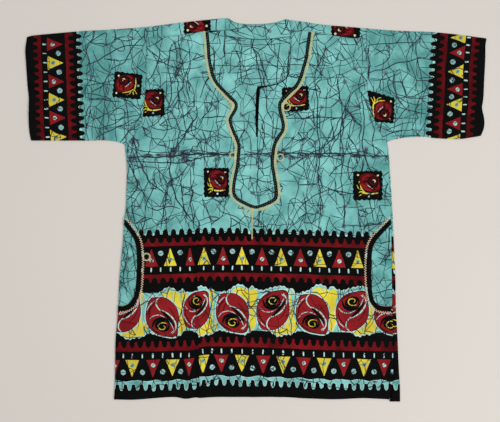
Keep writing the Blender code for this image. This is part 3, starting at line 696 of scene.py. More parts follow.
def rose_band(cloth, first, last, roses, random, start=233, lower=0.0, part=0):
    """Light cloudy band with roses that swirl down and up in turn. start is a rose's u."""
    edge_top, edge_foot, rim_top, rim_foot = [], [], [], []
    table_top, table_foot = np.array(CLOUD_TOP), np.array(CLOUD_FOOT)
    for u in np.arange(first, last + 0.1, 1.1):
        phase = (u - start + 17) % 80 - 17
        bump = 0.6 * math.sin(u * 2 * math.pi / 4.6)
        top = np.interp(phase, *table_top.T) + bump + lower
        foot = np.interp(phase, *table_foot.T) + bump + lower
        rim_top.append((u, top))
        rim_foot.append((u, foot))
        edge_top.append((u, top + 1.3))
        edge_foot.append((u, foot - 1.3))
    cloth.lay(PALE, rim_top + rim_foot[::-1], part=part)
    cloth.lay(TURQUOISE, edge_top + edge_foot[::-1], part=part)
    for turn in range(-3, 4):
        for field in YELLOWS:
            outline = blob(field) + (start + 80 * turn, 311 + lower)
            low, high = outline.min(axis=0), outline.max(axis=0)
            if high[0] < first or low[0] > last:
                continue
            cloth.lay(YELLOW, uneven(outline, random, 0.3), over=(TURQUOISE,), part=part)
            for _ in range(6):
                u, v = random.uniform(low, high)
                reach = random.uniform(3, 9)
                streak = brush([(u - 1, v - reach), (u + 0.6, v), (u + 1.4, v + reach)],
                               random.uniform(0.7, 1.7), 0.3, 3.0)
                cloth.lay(TURQUOISE, uneven(streak, random, 0.2), over=(YELLOW,), part=part)
    for u, v, down, across in roses:
        rose(cloth, (u, v), across, down, part)


def quad_place(corners):
    """Place in a patch from its own coordinates, which run from -1 to 1."""
    a, b, c, d = (np.array(p, dtype=float) for p in corners)

    def place(points):
        p = (np.array(points, dtype=float) + 1) / 2
        s, t = p[:, :1], p[:, 1:]
        return (1 - t) * ((1 - s) * a + s * b) + t * ((1 - s) * d + s * c)
    return place


PATCH_HALF = np.array((12.5, 14.5))


def patch(cloth, corners, seed, turn=0, part=0, stem=True):
    """Square with frayed wax edges and a small rose, mostly on a forked stem."""
    random = np.random.default_rng(seed)
    place = quad_place(corners)
    edge = []
    for k in range(4):
        for s in np.arange(-0.94, 0.95, 0.17):
            out = 1.0 + (0.045 if (int(round((s + 0.94) / 0.17)) % 2) else -0.02)
            out += random.uniform(-0.02, 0.02)
            p = {0: (s, -out), 1: (out, s), 2: (-s, out), 3: (-out, -s)}[k]
            edge.append(p)
    cloth.lay(BLACK, place(edge), part=part)

    def put(ink, outline):
        p = turned(np.array(outline, dtype=float), (0, 0), turn=turn)
        cloth.lay(ink, place(p / (PATCH_HALF if turn % 180 == 0 else PATCH_HALF[::-1])),
                  part=part)

    put(DEEP_RED, blob([(-6.6, -9.5), (-2, -12.2), (4, -11.6), (8.6, -8), (10.4, -2),
                        (10, 3.6), (7, 6.4), (0.6, 6), (-3.6, 3), (-6.8, -3)]))
    put(WINE, blob([(0, -8), (5, -9.6), (9, -5), (8.6, 1), (3, 1)]))
    put(RED, blob([(-5.2, -9), (-1.6, -11), (2.4, -10), (-1.6, -6.6), (-4.8, -5)]))
    put(RED, blob([(-5.6, -2.6), (-2.4, -1), (3.4, 4.8), (0, 5.2), (-3.6, 2.6)]))
    put(RED, brush([(5.4, 5.2), (8.6, 2.6), (9.4, -1.6)], 1.1))
    put(BLACK, brush([(-6.2, -5), (-4.6, -9), (-1, -11.4)], 0.7))
    put(BLACK, brush([(-5, -3.4), (-1, -4.6), (1.6, -1.6), (4.6, 3), (8.4, 5)], 1.2))
    put(BLACK, brush([(0.6, -6), (3.6, -9), (7.8, -7), (8.8, -2.4), (6, 0.8), (2.2, -0.8),
                      (1.6, -4.4), (4.6, -6.4)], 1.2))
    put(BLACK, brush([(-3.4, -7), (-1, -8.6), (2, -7.4), (0.6, -4.6)], 1.0))
    put(BLACK, brush([(-2.4, 1.2), (1.4, 2.4), (5, 1), (8.6, 1.4)], 0.9))
    put(BLACK, ring(5.5, -4.2, 2.1, 2.1, 8))
    put(CREAM, brush([(4.2, -5.4), (5.8, -5.6), (6.6, -4.2), (5.6, -3.2)], 1.0, 0.5, 1.0))
    put(PALE, brush([(-1.6, -2.4), (1.2, 0.8), (4.2, 3.2)], 0.65))
    if not stem:
        return
    put(YELLOW, brush([(9, 7.4), (4, 8.2), (-1, 8), (-4, 6.8), (-6, 6), (-8.6, 7.4)], 1.5))
    put(YELLOW, brush([(-3, 7.4), (-5.6, 8.8), (-7.6, 10.6)], 0.9))
    put(YELLOW, brush([(-2.4, 7), (-5.4, 3), (-6.8, -1), (-7.6, -4.6)], 1.0))
    put(YELLOW, brush([(-5.2, 4.2), (-8, 2.8), (-9.4, -0.8)], 0.8))
    put(CREAM, brush([(8, 7.5), (4, 8.1), (0, 7.9)], 0.6))
    for x, y in ((-8.3, -10.8), (8.8, -10.2)):
        put(CREAM, ring(x, y, 1.0, 1.0, 8))
    put(PALE, ring(1.1, 11.2, 1.1, 1.1, 8))
    for x, y in ((-3.5, 10.7), (8.4, 10.8)):
        put(WINE, ring(x, y, 0.8, 0.8, 6))


# Widths of the web's cracks and of the long runs, in squares, and how often each comes.
WEB_WIDTHS, WEB_SHARES = (0.5, 0.64, 0.82, 1.1), (0.3, 0.35, 0.25, 0.1)
RUN_WIDTHS, RUN_SHARES = (0.55, 0.75, 1.0), (0.4, 0.4, 0.2)
# How far nodes stray from their lattice, how close two may lie, how far a crack reaches
# in spacings, how much the web favours one direction, and the step of a long run.
NODE_SCATTER = 0.42
NODE_APART = 3.2
WEB_REACH = 2.6
WEB_STRETCH = 0.55
RUN_STEP = 7.0


def crack_nodes(random, low, high, spacing, dense):
    """Places where cracks meet: a loose lattice, and more along the dense lines."""
    nodes = []
    for row, v in enumerate(np.arange(low[1], high[1], spacing)):
        for u in np.arange(low[0] + (row % 2) * spacing / 2, high[0], spacing):
            nodes.append((u, v) + random.uniform(-NODE_SCATTER, NODE_SCATTER, 2) * spacing)
    for u0, v0, u1, v1, count, spread in dense:
        t = random.uniform(0, 1, count)
        extra = np.column_stack([u0 + (u1 - u0) * t, v0 + (v1 - v0) * t])
        for node in extra + random.normal(0, spread, (count, 2)):
            if np.min(np.hypot(*(np.array(nodes) - node).T)) > NODE_APART:
                nodes.append(node)
    return np.array(nodes)


def smear(cloth, random, centre, across, down, ink, over):
    """A place where the dye pooled: a grey stain full of short cracks."""
    stain = uneven(ring(*centre, across, down, 12), random, min(across, down) * 0.3)
    cloth.lay(HAZE, stain, over=(TURQUOISE,))
    for _ in range(int(across * down * 0.5) + 3):
        start = centre + random.uniform(-0.8, 0.8, 2) * (across, down)
        end = centre + random.uniform(-0.9, 0.9, 2) * (across, down)
        bend = (start + end) / 2 + random.normal(0, 0.8, 2)
        cloth.lay(ink, brush([start, bend, end], random.uniform(0.5, 1.0), 0.5, 2.5),
                  over=over)


def web(cloth, random, nodes, spacing, links, ink, over):
    """Cracks from each node to its nearest neighbours, each drawn once."""
    done = set()
    for i, node in enumerate(nodes):
        off = nodes - node
        draw = random.uniform()
        stretch = np.array((1.0, WEB_STRETCH) if draw < 0.5 else (
            (WEB_STRETCH, 1.0) if draw < 0.7 else (1.0, 1.0)))
        far = np.hypot(*(off * stretch).T)
        far[i] = 1e9
        for j in np.argsort(far)[:random.integers(*links)]:
            pair = (min(i, j), max(i, j))
            gap = math.hypot(*off[j])
            if pair in done or gap > spacing * WEB_REACH:
                continue
            done.add(pair)
            aside = np.array((-off[j][1], off[j][0]))
            bow = aside * random.normal(0, 0.06)
            wave = aside * random.normal(0, 0.02)
            path = [node - off[j] * 0.04, node + off[j] * 0.33 + bow + wave,
                    node + off[j] * 0.67 + bow - wave, node + off[j] * 1.04]
            width = random.choice(WEB_WIDTHS, p=WEB_SHARES)
            cloth.lay(ink, brush(path, width, 0.6, max(gap / 4, 2.0)), over=over)


def crack_fan(cloth, random, node, ink, over):
    """Nearly straight cracks that run out from one node."""
    heading = random.uniform(0, math.pi)
    if random.uniform() < 0.6:
        heading = random.normal(math.pi / 2, 0.45)
    for _ in range(random.integers(1, 5)):
        turn = heading + random.normal(0, 0.45) + math.pi * random.integers(0, 2)
        ahead = np.array((math.cos(turn), math.sin(turn)))
        length = random.uniform(7, 26)
        bow = np.array((-ahead[1], ahead[0])) * random.normal(0, 0.05) * length
        ray = [node, node + ahead * length * 0.5 + bow, node + ahead * length]
        cloth.lay(ink, brush(ray, random.uniform(0.48, 0.8), 0.35, 6.0), over=over)


def long_run(cloth, random, low, high, ink, over):
    """One long crack that wanders down the cloth or, less often, across it."""
    path = [random.uniform(low, high)]
    heading = random.normal(math.pi / 2, 0.35) if random.uniform() < 0.75 else (
        random.normal(0, 0.3))
    for _ in range(random.integers(4, 9)):
        turn = heading + random.normal(0, 0.22)
        path.append(path[-1] + RUN_STEP * np.array((math.cos(turn), math.sin(turn))))
    width = random.choice(RUN_WIDTHS, p=RUN_SHARES)
    cloth.lay(ink, brush(path, width, 0.4, 5.0), over=over)


def crackle(cloth, seed, region, spacing, runs=0, rays=0, dense=(), lines=(), smears=(),
            links=(2, 5), over=LIGHT_INKS, ink=CRACKLE):
    """Web of fine lines where dye ran into cracks of the wax. Lines given one by one, each a
    width and its points, come on top of the loose web. Rays are fans of nearly straight cracks,
    runs long ones. A smear is a place where the dye pooled: its centre and reach across and
    down."""
    random = np.random.default_rng(seed)
    low, high = np.array(region[0], float), np.array(region[1], float)
    nodes = crack_nodes(random, low, high, spacing, dense)
    for i in random.choice(len(nodes), len(nodes) // 6, replace=False):
        size = random.uniform(1.2, 2.8, 2)
        cloth.lay(HAZE, uneven(ring(*nodes[i], *size, 8), random, 0.7), over=(TURQUOISE,))
    for u, v, across, down in smears:
        smear(cloth, random, (u, v), across, down, ink, over)
    web(cloth, random, nodes, spacing, links, ink, over)
    for i in random.choice(len(nodes), min(rays, len(nodes)), replace=False):
        crack_fan(cloth, random, nodes[i], ink, over)
    for _ in range(runs):
        long_run(cloth, random, low, high, ink, over)
    for i in random.choice(len(nodes), len(nodes) // 3, replace=False):
        size = random.uniform(0.4, 0.85, 2)
        cloth.lay(ink, uneven(ring(*nodes[i], *size, 6), random, 0.15), over=over)
    for width, points in lines:
        path = smooth_path(points, 5.0)
        path[1:-1] += random.normal(0, 0.32, path[1:-1].shape)
        cloth.lay(ink, brush(path, width, 0.5, 2.6), over=over)


# Long cracks of the body, given one by one: width, then chart places.
BODY_CRACKS = (
    (1.5, ((128, 158), (140, 157), (160, 157.5), (180, 155), (200, 154), (225, 154.5),
           (240, 155))),
    (1.1, ((128, 161), (150, 162), (175, 163), (185, 162), (200, 158), (215, 156))),
    (0.9, ((140, 151), (165, 152.5), (190, 150), (215, 153), (238, 152.5))),
    (1.3, ((240, 155), (262, 154), (285, 152.6), (310, 154), (340, 153), (365, 156),
           (392, 155))),
    (0.9, ((245, 151), (275, 157), (300, 151), (330, 156.5), (360, 152), (390, 158.5))),
    (1.3, ((133, 137), (136, 150), (138, 158), (143, 168), (147, 178), (152, 184),
           (160, 190), (168, 195))),
    (1.3, ((127, 160), (132, 170), (137, 182), (138, 186), (135, 192), (127, 200))),
    (1.4, ((171, 158), (170, 168), (171, 180), (172, 184), (174, 192), (177, 200),
           (183, 208), (188, 216))),
    (1.3, ((173, 152), (178, 145), (185, 135), (191, 124), (197, 116), (196, 106))),
    (0.9, ((172, 182), (180, 176), (186, 168), (192, 160))),
    (0.9, ((172, 184), (180, 186), (188, 189), (198, 194), (203, 196))),
    (1.1, ((168, 185), (167, 195), (165, 205), (163, 215), (161, 229))),
    (1.0, ((190, 168), (191, 180), (192, 192), (191, 205), (193, 218), (194, 229))),
    (0.9, ((182, 104), (184, 120), (186, 133), (183, 145))),
    (0.8, ((203, 132), (206, 143), (204, 152), (205, 168))),
    (0.9, ((150, 126), (160, 130), (175, 128))),
    (1.1, ((148, 207), (158, 210), (170, 206), (180, 209))),
    (0.9, ((210, 65), (235, 66), (262, 65), (285, 66), (300, 65), (330, 66))),
    (0.7, ((240, 78), (262, 79), (275, 78), (300, 77), (326, 78), (350, 77))),
    (1.1, ((202, 118), (213, 117), (226, 117))),
    (1.1, ((285, 118), (300, 118.6), (320, 117.4), (340, 118))),
    (1.1, ((200, 98), (206, 82), (212, 74), (214, 60), (213, 46))),
    (1.1, ((316, 40), (318, 60), (315, 82), (318, 104), (317, 128), (320, 150),
           (318, 176), (321, 200), (319, 229))),
    (1.0, ((341, 60), (338, 84), (342, 110), (340, 136), (344, 156), (341, 180),
           (345, 206), (343, 228))),
    (1.2, ((361, 92), (364, 120), (362, 146), (366, 160), (372, 178), (370, 200),
           (374, 222))),
    (1.0, ((172, 44), (168, 66), (172, 90), (168, 112), (172, 130))),
    (0.9, ((188, 40), (190, 62), (187, 84), (190, 104))),
    (1.0, ((283, 172), (300, 160), (318, 150), (334, 138), (352, 120))),
    (0.9, ((290, 226), (300, 208), (314, 196), (330, 190), (346, 196))),
    (0.9, ((156, 60), (170, 66), (186, 70), (202, 66))),
    (0.9, ((145, 130), (158, 122), (170, 106), (180, 92))),
    (1.0, ((258, 136), (257.5, 150), (258.5, 166), (257, 184), (258, 204))),
    (0.9, ((240, 180), (252, 178), (266, 182), (278, 179))),
    (0.9, ((216, 204), (222, 212), (234, 216), (246, 224))),
)
# Places where the dye pooled along the crease under the arms, and in knots of cracks.
BODY_SMEARS = (
    (133, 140, 2.6, 8), (131, 158, 5, 3.4), (148, 156, 6, 2), (160, 155, 5, 1.6),
    (171, 155.5, 5, 2.8), (184, 154, 6, 4), (186, 161, 5, 2.4), (200, 153.6, 5, 1.6),
    (214, 154.6, 6, 1.8), (228, 155, 4, 1.5), (171, 183, 2.6, 4.4), (173, 151, 3, 3),
    (138, 183, 2.0, 4),
    (268, 154.6, 5, 1.5), (283, 155.6, 5, 2.6), (292, 157.6, 5, 2.6), (304, 155, 7, 2.8),
    (318, 155.4, 5, 3.2), (336, 154, 6, 1.8), (356, 155.4, 7, 2.2), (376, 157, 6, 1.8),
    (366, 150, 2.2, 4), (318, 178, 1.8, 5),
)
# Cracks seen on the inside of the back, through the neck.
NECK_CRACKS = (
    (1.1, ((249, 30), (252, 42), (254, 50), (257, 58), (258, 68), (260, 78), (262, 90))),
    (1.0, ((280, 40), (279, 52), (278, 60), (277, 72), (276, 86))),
    (0.9, ((264, 38), (272, 50), (278, 58), (283, 70))),
    (0.9, ((222, 65), (240, 66), (262, 65), (285, 66), (296, 65))),
    (0.7, ((226, 43), (245, 44), (262, 45), (290, 42))),
    (0.7, ((238, 78), (262, 79), (280, 78))),
    (0.9, ((236, 50), (240, 62), (241, 76), (244, 88))),
)


RIGHT_SLEEVE_CRACKS = (
    (1.0, ((367.4, 46.1), (376, 44.2), (386, 44.2), (398, 42.8), (415, 42.2))),
    (1.1, ((366.7, 73.5), (376, 70.3), (386.3, 68.3), (398, 62.4), (407, 61.8),
           (425.5, 57.9))),
    (0.9, ((368, 80), (381, 79.4), (394, 76), (400.7, 72))),
    (1.0, ((374.6, 55.2), (381, 50.7), (387.6, 51.3), (389, 57.9), (381, 64.4),
           (374.6, 67))),
    (0.8, ((420.3, 34.4), (419.6, 43.5), (423, 47.4), (428, 49.4))),
    (0.9, ((406, 63), (407.2, 67), (410, 72.2))),
    (0.9, ((390.2, 77.4), (387, 82.7), (389, 87.9), (391, 94.4))),
    (1.0, ((394, 93), (404.6, 97), (413.7, 98.3), (425.5, 98.3))),
    (0.8, ((395.5, 95.7), (409.8, 103.6), (420.3, 104.9))),
    (0.9, ((404.6, 94.4), (412.4, 97), (426, 88.5))),
    (1.0, ((395.5, 106), (407, 110), (426, 114))),
    (0.9, ((394, 123), (403.3, 111.4), (409.8, 104.9))),
    (0.9, ((386.3, 131), (392.9, 127.7), (399.4, 124.4), (412.4, 121.8))),
    (1.0, ((362.8, 55.2), (368, 47.4), (366.7, 59.2), (366, 72.2), (362.8, 81.4))),
    (1.1, ((357.6, 93), (362.8, 111.4), (370.7, 137.5), (378.5, 145.3))),
)
LEFT_SLEEVE_CRACKS = (
    (1.0, ((82.7, 48.1), (98.4, 37), (106.3, 33.1), (105.6, 40.9), (107.6, 47.5))),
    (1.1, ((85.4, 65.8), (93.2, 63.1), (103.7, 57.3), (119.3, 48.1), (131.1, 45.5),
           (144.2, 46.1))),
    (0.9, ((93.2, 51.4), (98.4, 63.1), (108.9, 72.3), (116.7, 74.9))),
    (1.1, ((111.5, 69.7), (116.7, 65.8), (123.3, 63.1), (128.5, 55.3), (135, 44.8),
           (145.5, 34.4))),
    (0.9, ((82.7, 78.8), (93.2, 80.8), (103.7, 84), (112.8, 84.7))),
    (0.9, ((84, 85.4), (98.4, 84), (114.1, 80.1))),
    (0.9, ((85.4, 93.2), (98.4, 95.8), (106.3, 97.1))),
    (0.9, ((85.4, 97.1), (98.4, 99.7), (111.5, 98.4))),
    (0.9, ((93.2, 115.4), (101, 122), (108.9, 131.1))),
    (0.9, ((108.9, 116.7), (119.3, 107.6), (124.6, 111.5), (124.6, 116.7),
           (114.1, 120.7), (108.9, 116.7))),
    (0.9, ((85.4, 124.6), (98.4, 128.5), (111.5, 124.6), (124.6, 118), (142.9, 114.1))),
    (1.0, ((95.8, 137.6), (106.3, 132.4), (116.7, 128.5), (132.4, 119.3))),
    (0.9, ((111.5, 37), (120.7, 39.6), (124.6, 50.1), (119.3, 51.4), (111.5, 46.1))),
    (0.9, ((116.7, 30.5), (127.2, 29.1), (139, 31.8))),
    (1.0, ((145.5, 27.8), (144.2, 37), (149.4, 46.1))),
)


def front_print():
    """The front: roses and borders low down, patches and crackle above."""
    cloth = Print()
    random = np.random.default_rng(5)
    for part, line, span, marks in ((-1, UPPER_LEFT_LINE, (112, 206), UPPER_LEFT_MARKS),
                                    (1, UPPER_RIGHT_LINE, (192, 402), UPPER_RIGHT_MARKS)):
        upper_border(cloth, line, span, marks, 11 + part, part)
    for part, line, span, marks in ((-1, LOWER_LEFT_LINE, (108, 206), LOWER_LEFT_MARKS),
                                    (1, LOWER_RIGHT_LINE, (192, 406), LOWER_RIGHT_MARKS)):
        lower_border(cloth, line, span, marks, 21 + part, part)
    rose_band(cloth, 104, 206, ((125, 314, -1, 1), (163, 315, 1, 1), (197, 311.5, -0.95, 0.8)),
              random, 243, 3.0, -1)
    rose_band(cloth, 192, 404, ((197, 311.5, -0.95, 0.8), (233, 311, 1, 1),
                                (273.5, 312, -1, 1), (313, 312, 1, 1),
                                (352.7, 313, -1, 1), (391, 313.5, 1, 1)), random, part=1)
    patch(cloth, ((203.8, 168), (229, 168), (228.6, 197), (204.2, 197)), 31)
    patch(cloth, ((353, 171.5), (382, 171), (382.5, 200), (353.4, 200)), 32)
    patch(cloth, ((139.5, 90), (164, 89), (164.6, 115.6), (139.5, 117)), 33)
    patch(cloth, ((281.6, 88), (308, 86), (309, 110), (282.6, 112.6)), 34, 0)
    crackle(cloth, 41, ((112, 14), (400, 236)), 9.6, 90, 230, dense=(
        (126, 157, 392, 154, 60, 2.6), (192, 120, 194, 228, 14, 2.5),
        (165, 110, 168, 228, 14, 3), (257, 150, 258, 228, 12, 2.0),
        (362, 90, 368, 228, 14, 3), (132, 135, 134, 200, 22, 3),
        (316, 40, 319, 228, 20, 4), (170, 60, 200, 150, 16, 8)), lines=BODY_CRACKS,
        smears=BODY_SMEARS)
    crackle(cloth, 43, ((104, 284), (404, 340)), 8.4, 50, 40, links=(2, 4))
    crackle(cloth, 46, ((104, 290), (404, 334)), 12.0, 8, links=(1, 3), over=(RED,), ink=WINE)
    crackle(cloth, 44, ((104, 244), (404, 270)), 7.0, links=(2, 4))
    crackle(cloth, 45, ((104, 352), (404, 390)), 7.0, links=(2, 4))
    # Black thread and painted shadow along the neck opening and slit.
    for width, points in NECK_EDGES:
        cloth.lay(BLACK, brush(points, width, 0.7, 2.0))
    return cloth


def show_sleeve(name):
    """A sleeve's print: border along the cuff, one patch, large crackle."""
    cloth = Print()
    left = name == "sleeve_left"
    if left:
        line = np.array(((24, 64.6), (35, 65.4), (60, 66.4), (90, 67.3), (120, 68.4),
                         (146, 69.4)))
        marks = ((44.5, RED, 7), (63, YELLOW, 7), (81.5, RED, 7), (100, YELLOW, 7),
                 (118, RED, 7), (137, YELLOW, 7))
    else:
        line = np.array(((24, 448), (37, 447.6), (50, 446.2), (67, 444.8), (90, 444),
                         (105, 443.4), (120, 441.8), (142, 441.5)))
        marks = ((37.7, YELLOW, 6), (52.9, RED, 7), (71.6, YELLOW, 7), (89.5, RED, 6.6),
                 (104.6, YELLOW, 6.6), (123.4, RED, 7), (139.5, YELLOW, 5.5))

    def place(s, d):
        return np.interp(s, *line.T) - d * (1 if left else -1), s

    border(cloth, place, (24, 146), (7.5, 3.0), marks, CUFF, 51 + left)
    if left:
        patch(cloth, ((115, 71.4), (142.6, 75), (140.4, 99.4), (112.4, 97)), 35, -90)
        crackle(cloth, 61, ((70, 22), (152, 150)), 12.0, 22, 34, lines=LEFT_SLEEVE_CRACKS)
        crackle(cloth, 63, ((30, 20), (64, 150)), 7.0, links=(2, 4))
    else:
        patch(cloth, ((366.5, 90), (394.6, 98), (393.4, 123.6), (368, 121)), 36, 90)
        crackle(cloth, 62, ((360, 22), (440, 150)), 12.0, 22, 34, lines=RIGHT_SLEEVE_CRACKS)
        crackle(cloth, 64, ((446, 20), (482, 150)), 7.0, links=(2, 4))
    return cloth


def back_print():
    """The back: the same print laid out afresh, seen on its flaps and underneath."""
    cloth = Print()
    random = np.random.default_rng(7)
    inks = (RED, YELLOW)
    upper = [(396 - 19.3 * k, inks[(k + 1) % 2], 6.8) for k in range(16)][::-1]
    lower = [(392 - 20.3 * k, inks[k % 2], 7.1) for k in range(15)][::-1]
    upper_border(cloth, ((100, 245), (420, 248)), (104, 416), upper, 71)
    lower_border(cloth, ((100, 350), (420, 351)), (104, 416), lower, 72)
    roses = [(400 - 39.6 * k, 312, (-1) ** k, 1) for k in range(8)]
    rose_band(cloth, 104, 416, roses, random, 241.6)
    for k, (u, v) in enumerate(((170, 70), (330, 96), (236, 150), (150, 190), (352, 200))):
        patch(cloth, ((u, v), (u + 27, v), (u + 27, v + 28), (u, v + 28)), 81 + k)
    crackle(cloth, 91, ((112, -4), (412, 236)), 12.0, 50, 120)
    crackle(cloth, 92, ((112, 284), (412, 336)), 12.0, 10)
    return cloth


def plain_print(seed, region, spacing, runs, rays, lines=()):
    """Turquoise ground with crackle only."""
    cloth = Print()
    crackle(cloth, seed, region, spacing, runs, rays, lines=lines)
    return cloth


def lining_print(black_areas=()):
    """Wrong side of a panel: ground, with the borders as dark areas."""
    cloth = Print()
    for area in black_areas:
        cloth.lay(BLACK, area)
    return cloth


def double_areas(verts, faces):
    """Twice the area of each flat triangle, positive where it runs anticlockwise."""
    a, b, c = (verts[faces[:, k]] for k in (0, 1, 2))
    return (b[:, 0] - a[:, 0]) * (c[:, 1] - a[:, 1]) - (b[:, 1] - a[:, 1]) * (c[:, 0] - a[:, 0])


def flat_area(verts, faces):
    """Area of a flat cut, in square metres."""
    return float(np.abs(double_areas(verts, faces)).sum() / 2) * MM * MM


def edge_run(start, size, closed=False):
    """Edges that join a run of points, one after the other."""
    return [(start + i, start + (i + 1) % size) for i in range(size if closed else size - 1)]


def cut_flat(loop, points, edges):
    """Triangles inside an outline that follow the given edges, with their centres."""
    result = delaunay_2d_cdt([Vector(p) for p in points], edges, [], 0, MERGE)
    verts = np.array([tuple(v) for v in result[0]])
    faces = np.array([tuple(f) for f in result[2]])
    upright = double_areas(verts, faces) > 0
    faces = np.where(upright[:, None], faces, faces[:, ::-1])
    centres = verts[faces].mean(axis=1)
    keep = inside(centres, loop)
    return verts, faces[keep], centres[keep]


def ink_edges(faces, inks):
    """Edges between two triangles of unlike ink, as pairs of point numbers."""
    pairs = np.vstack([faces[:, (0, 1)], faces[:, (1, 2)], faces[:, (2, 0)]])
    pairs.sort(axis=1)
    order = np.lexsort((pairs[:, 1], pairs[:, 0]))
    pairs, ink = pairs[order], np.tile(inks, 3)[order]
    twins = np.all(pairs[1:] == pairs[:-1], axis=1)
    return pairs[1:][twins & (ink[1:] != ink[:-1])]


def triangulate(loop, cloth, grid_step, lines=()):
    """Triangles of a flat cloth cut along the edges of its print, with each one's ink.
    A first cut along every shape finds which edges show; the second keeps only those."""
    points, edges, count = [loop], edge_run(0, len(loop), True), len(loop)
    low, high = loop.min(axis=0) - PRINT_REACH, loop.max(axis=0) + PRINT_REACH
    for line in lines:
        points.append(line)
        edges += edge_run(count, len(line))
        count += len(line)
    shapes, rings, total = [], [], count
    for _, outline, _, _ in cloth.shapes:
        if np.any(outline.max(axis=0) < low) or np.any(outline.min(axis=0) > high):
            continue
        shapes.append(outline)
        rings += edge_run(total, len(outline), True)
        total += len(outline)
    if shapes:
        verts, faces, centres = cut_flat(loop, np.vstack(points + shapes), edges + rings)
        shown = ink_edges(faces, cloth.inks_at(centres))
        used = np.unique(shown)
        points.append(verts[used])
        edges += (count + np.searchsorted(used, shown)).tolist()
    points.append(loose_points(loop, low, high, grid_step))
    verts, faces, centres = cut_flat(loop, np.vstack(points), edges)
    return order_boundary(verts, faces) + (cloth.inks_at(centres),)


def loose_points(loop, low, high, step):
    """Even points inside an outline, in staggered rows, that let the cloth bend."""
    rows = []
    for row, y in enumerate(np.arange(low[1], high[1], step * ROW_SHARE)):
        xs = np.arange(low[0] + (row % 2) * step / 2, high[0], step)
        rows.append(np.column_stack([xs, np.full(len(xs), y)]))
    points = np.vstack(rows)
    points = points[inside(points, loop)]
    rim = np.vstack([loop, loop[:1]])
    return points[path_distance(points, rim) > step * RIM_SHARE]


def both_sides(loop, cloth, lining, lines=(), grid=CLOTH_GRID):
    """Outer and inner triangles of a cloth, numbered alike round their outline. The
    lining is cut first so that where its own print meets the outline, both have a point."""
    verts, _, rim, _ = triangulate(loop, lining, LINING_GRID)
    verts, faces, rim, inks = triangulate(verts[:rim], cloth, grid, lines)
    inner_verts, inner_faces, inner_rim, inner_inks = triangulate(
        verts[:rim], lining, LINING_GRID)
    if inner_rim != rim:
        print("outlines differ", rim, inner_rim)
    start = int(np.argmin(np.hypot(*(inner_verts[:inner_rim] - verts[0]).T)))
    order = np.arange(len(inner_verts))
    order[:inner_rim] = (start + np.arange(inner_rim)) % inner_rim
    new = np.empty(len(order), dtype=int)
    new[order] = np.arange(len(order))
    return (verts, faces, inks), (inner_verts[order], new[inner_faces], inner_inks), rim


def order_boundary(verts, faces):
    """Renumbers points so that the outline comes first, in order; unused ones go."""
    pairs = np.vstack([faces[:, (0, 1)], faces[:, (1, 2)], faces[:, (2, 0)]])
    size = len(verts)
    keys = pairs[:, 0] * size + pairs[:, 1]
    twins = pairs[:, 1] * size + pairs[:, 0]
    open_edges = pairs[~np.isin(keys, twins)]
    follow = dict(map(tuple, open_edges))
    if len(follow) != len(open_edges):
        print("outline touches itself", len(open_edges) - len(follow))
    start = int(open_edges[0, 0])
    outline = [start]
    while follow[outline[-1]] != start:
        outline.append(int(follow[outline[-1]]))
    if len(outline) != len(open_edges):
        print("outline is in pieces", len(outline), len(open_edges))
    used = np.zeros(size, dtype=bool)
    used[faces] = True
    used[outline] = False
    order = np.concatenate([outline, np.flatnonzero(used)]).astype(int)
    new = np.full(size, -1)
    new[order] = np.arange(len(order))
    return verts[order], new[faces], len(outline)


def add_object(name, data):
    """Puts a mesh, lamp or camera into the scene."""
    obj = bpy.data.objects.new(name, data)
    bpy.context.scene.collection.objects.link(obj)
    return obj


def cloth_object(name, points, faces, inks, stuffs):
    """Mesh in metres with one material for each ink."""
    mesh = bpy.data.meshes.new(name)
    mesh.from_pydata([tuple(p) for p in np.array(points) * MM], [],
                     [tuple(int(i) for i in f) for f in faces])
    for stuff in stuffs:
        mesh.materials.append(stuff)
    mesh.polygons.foreach_set("material_index", np.array(inks, dtype=np.int32))
    mesh.polygons.foreach_set("use_smooth", np.ones(len(faces), dtype=bool))
    mesh.update()
    return add_object(name, mesh)


def close_shell(outer, inner):
    """Joins an outer and an inner surface round their open edges. Each is points,
    faces, inks and the numbers of the points along those edges."""
    outer_points, outer_faces, outer_inks, shared_outer = outer
    inner_points, inner_faces, inner_inks, shared_inner = inner
    shift = len(outer_points)
    faces = [tuple(f) for f in outer_faces]
    inks = list(outer_inks)
    faces += [tuple(shift + np.array(f)[::-1]) for f in inner_faces]
    inks += list(inner_inks)
    partner = dict(zip(shared_outer, shared_inner))
    seen = {}
    for f, ink in zip(outer_faces, outer_inks):
        for a, b in zip(f, tuple(f[1:]) + (f[0],)):
            seen[(int(a), int(b))] = ink
    for (a, b), ink in seen.items():
        if (b, a) not in seen:
            faces.append((b, a, shift + partner[a], shift + partner[b]))
            inks.append(ink)
    return np.vstack([outer_points, inner_points]), faces, inks


def panel(name, loop, cloth, lining, place, stuffs, lines=(), grid=CLOTH_GRID,
          face_down=False):
    """Closed sheet of cloth. place turns flat points and a side into space."""
    outer, inner, rim = both_sides(loop, cloth, lining, lines, grid)
    points, faces, inks = close_shell(
        (place(outer[0], HALF), outer[1], outer[2], range(rim)),
        (place(inner[0], -HALF), inner[1], inner[2], range(rim)))
    if face_down:
        faces = [f[::-1] for f in faces]
    return cloth_object(name, points, faces, inks, stuffs), flat_area(*outer[:2])


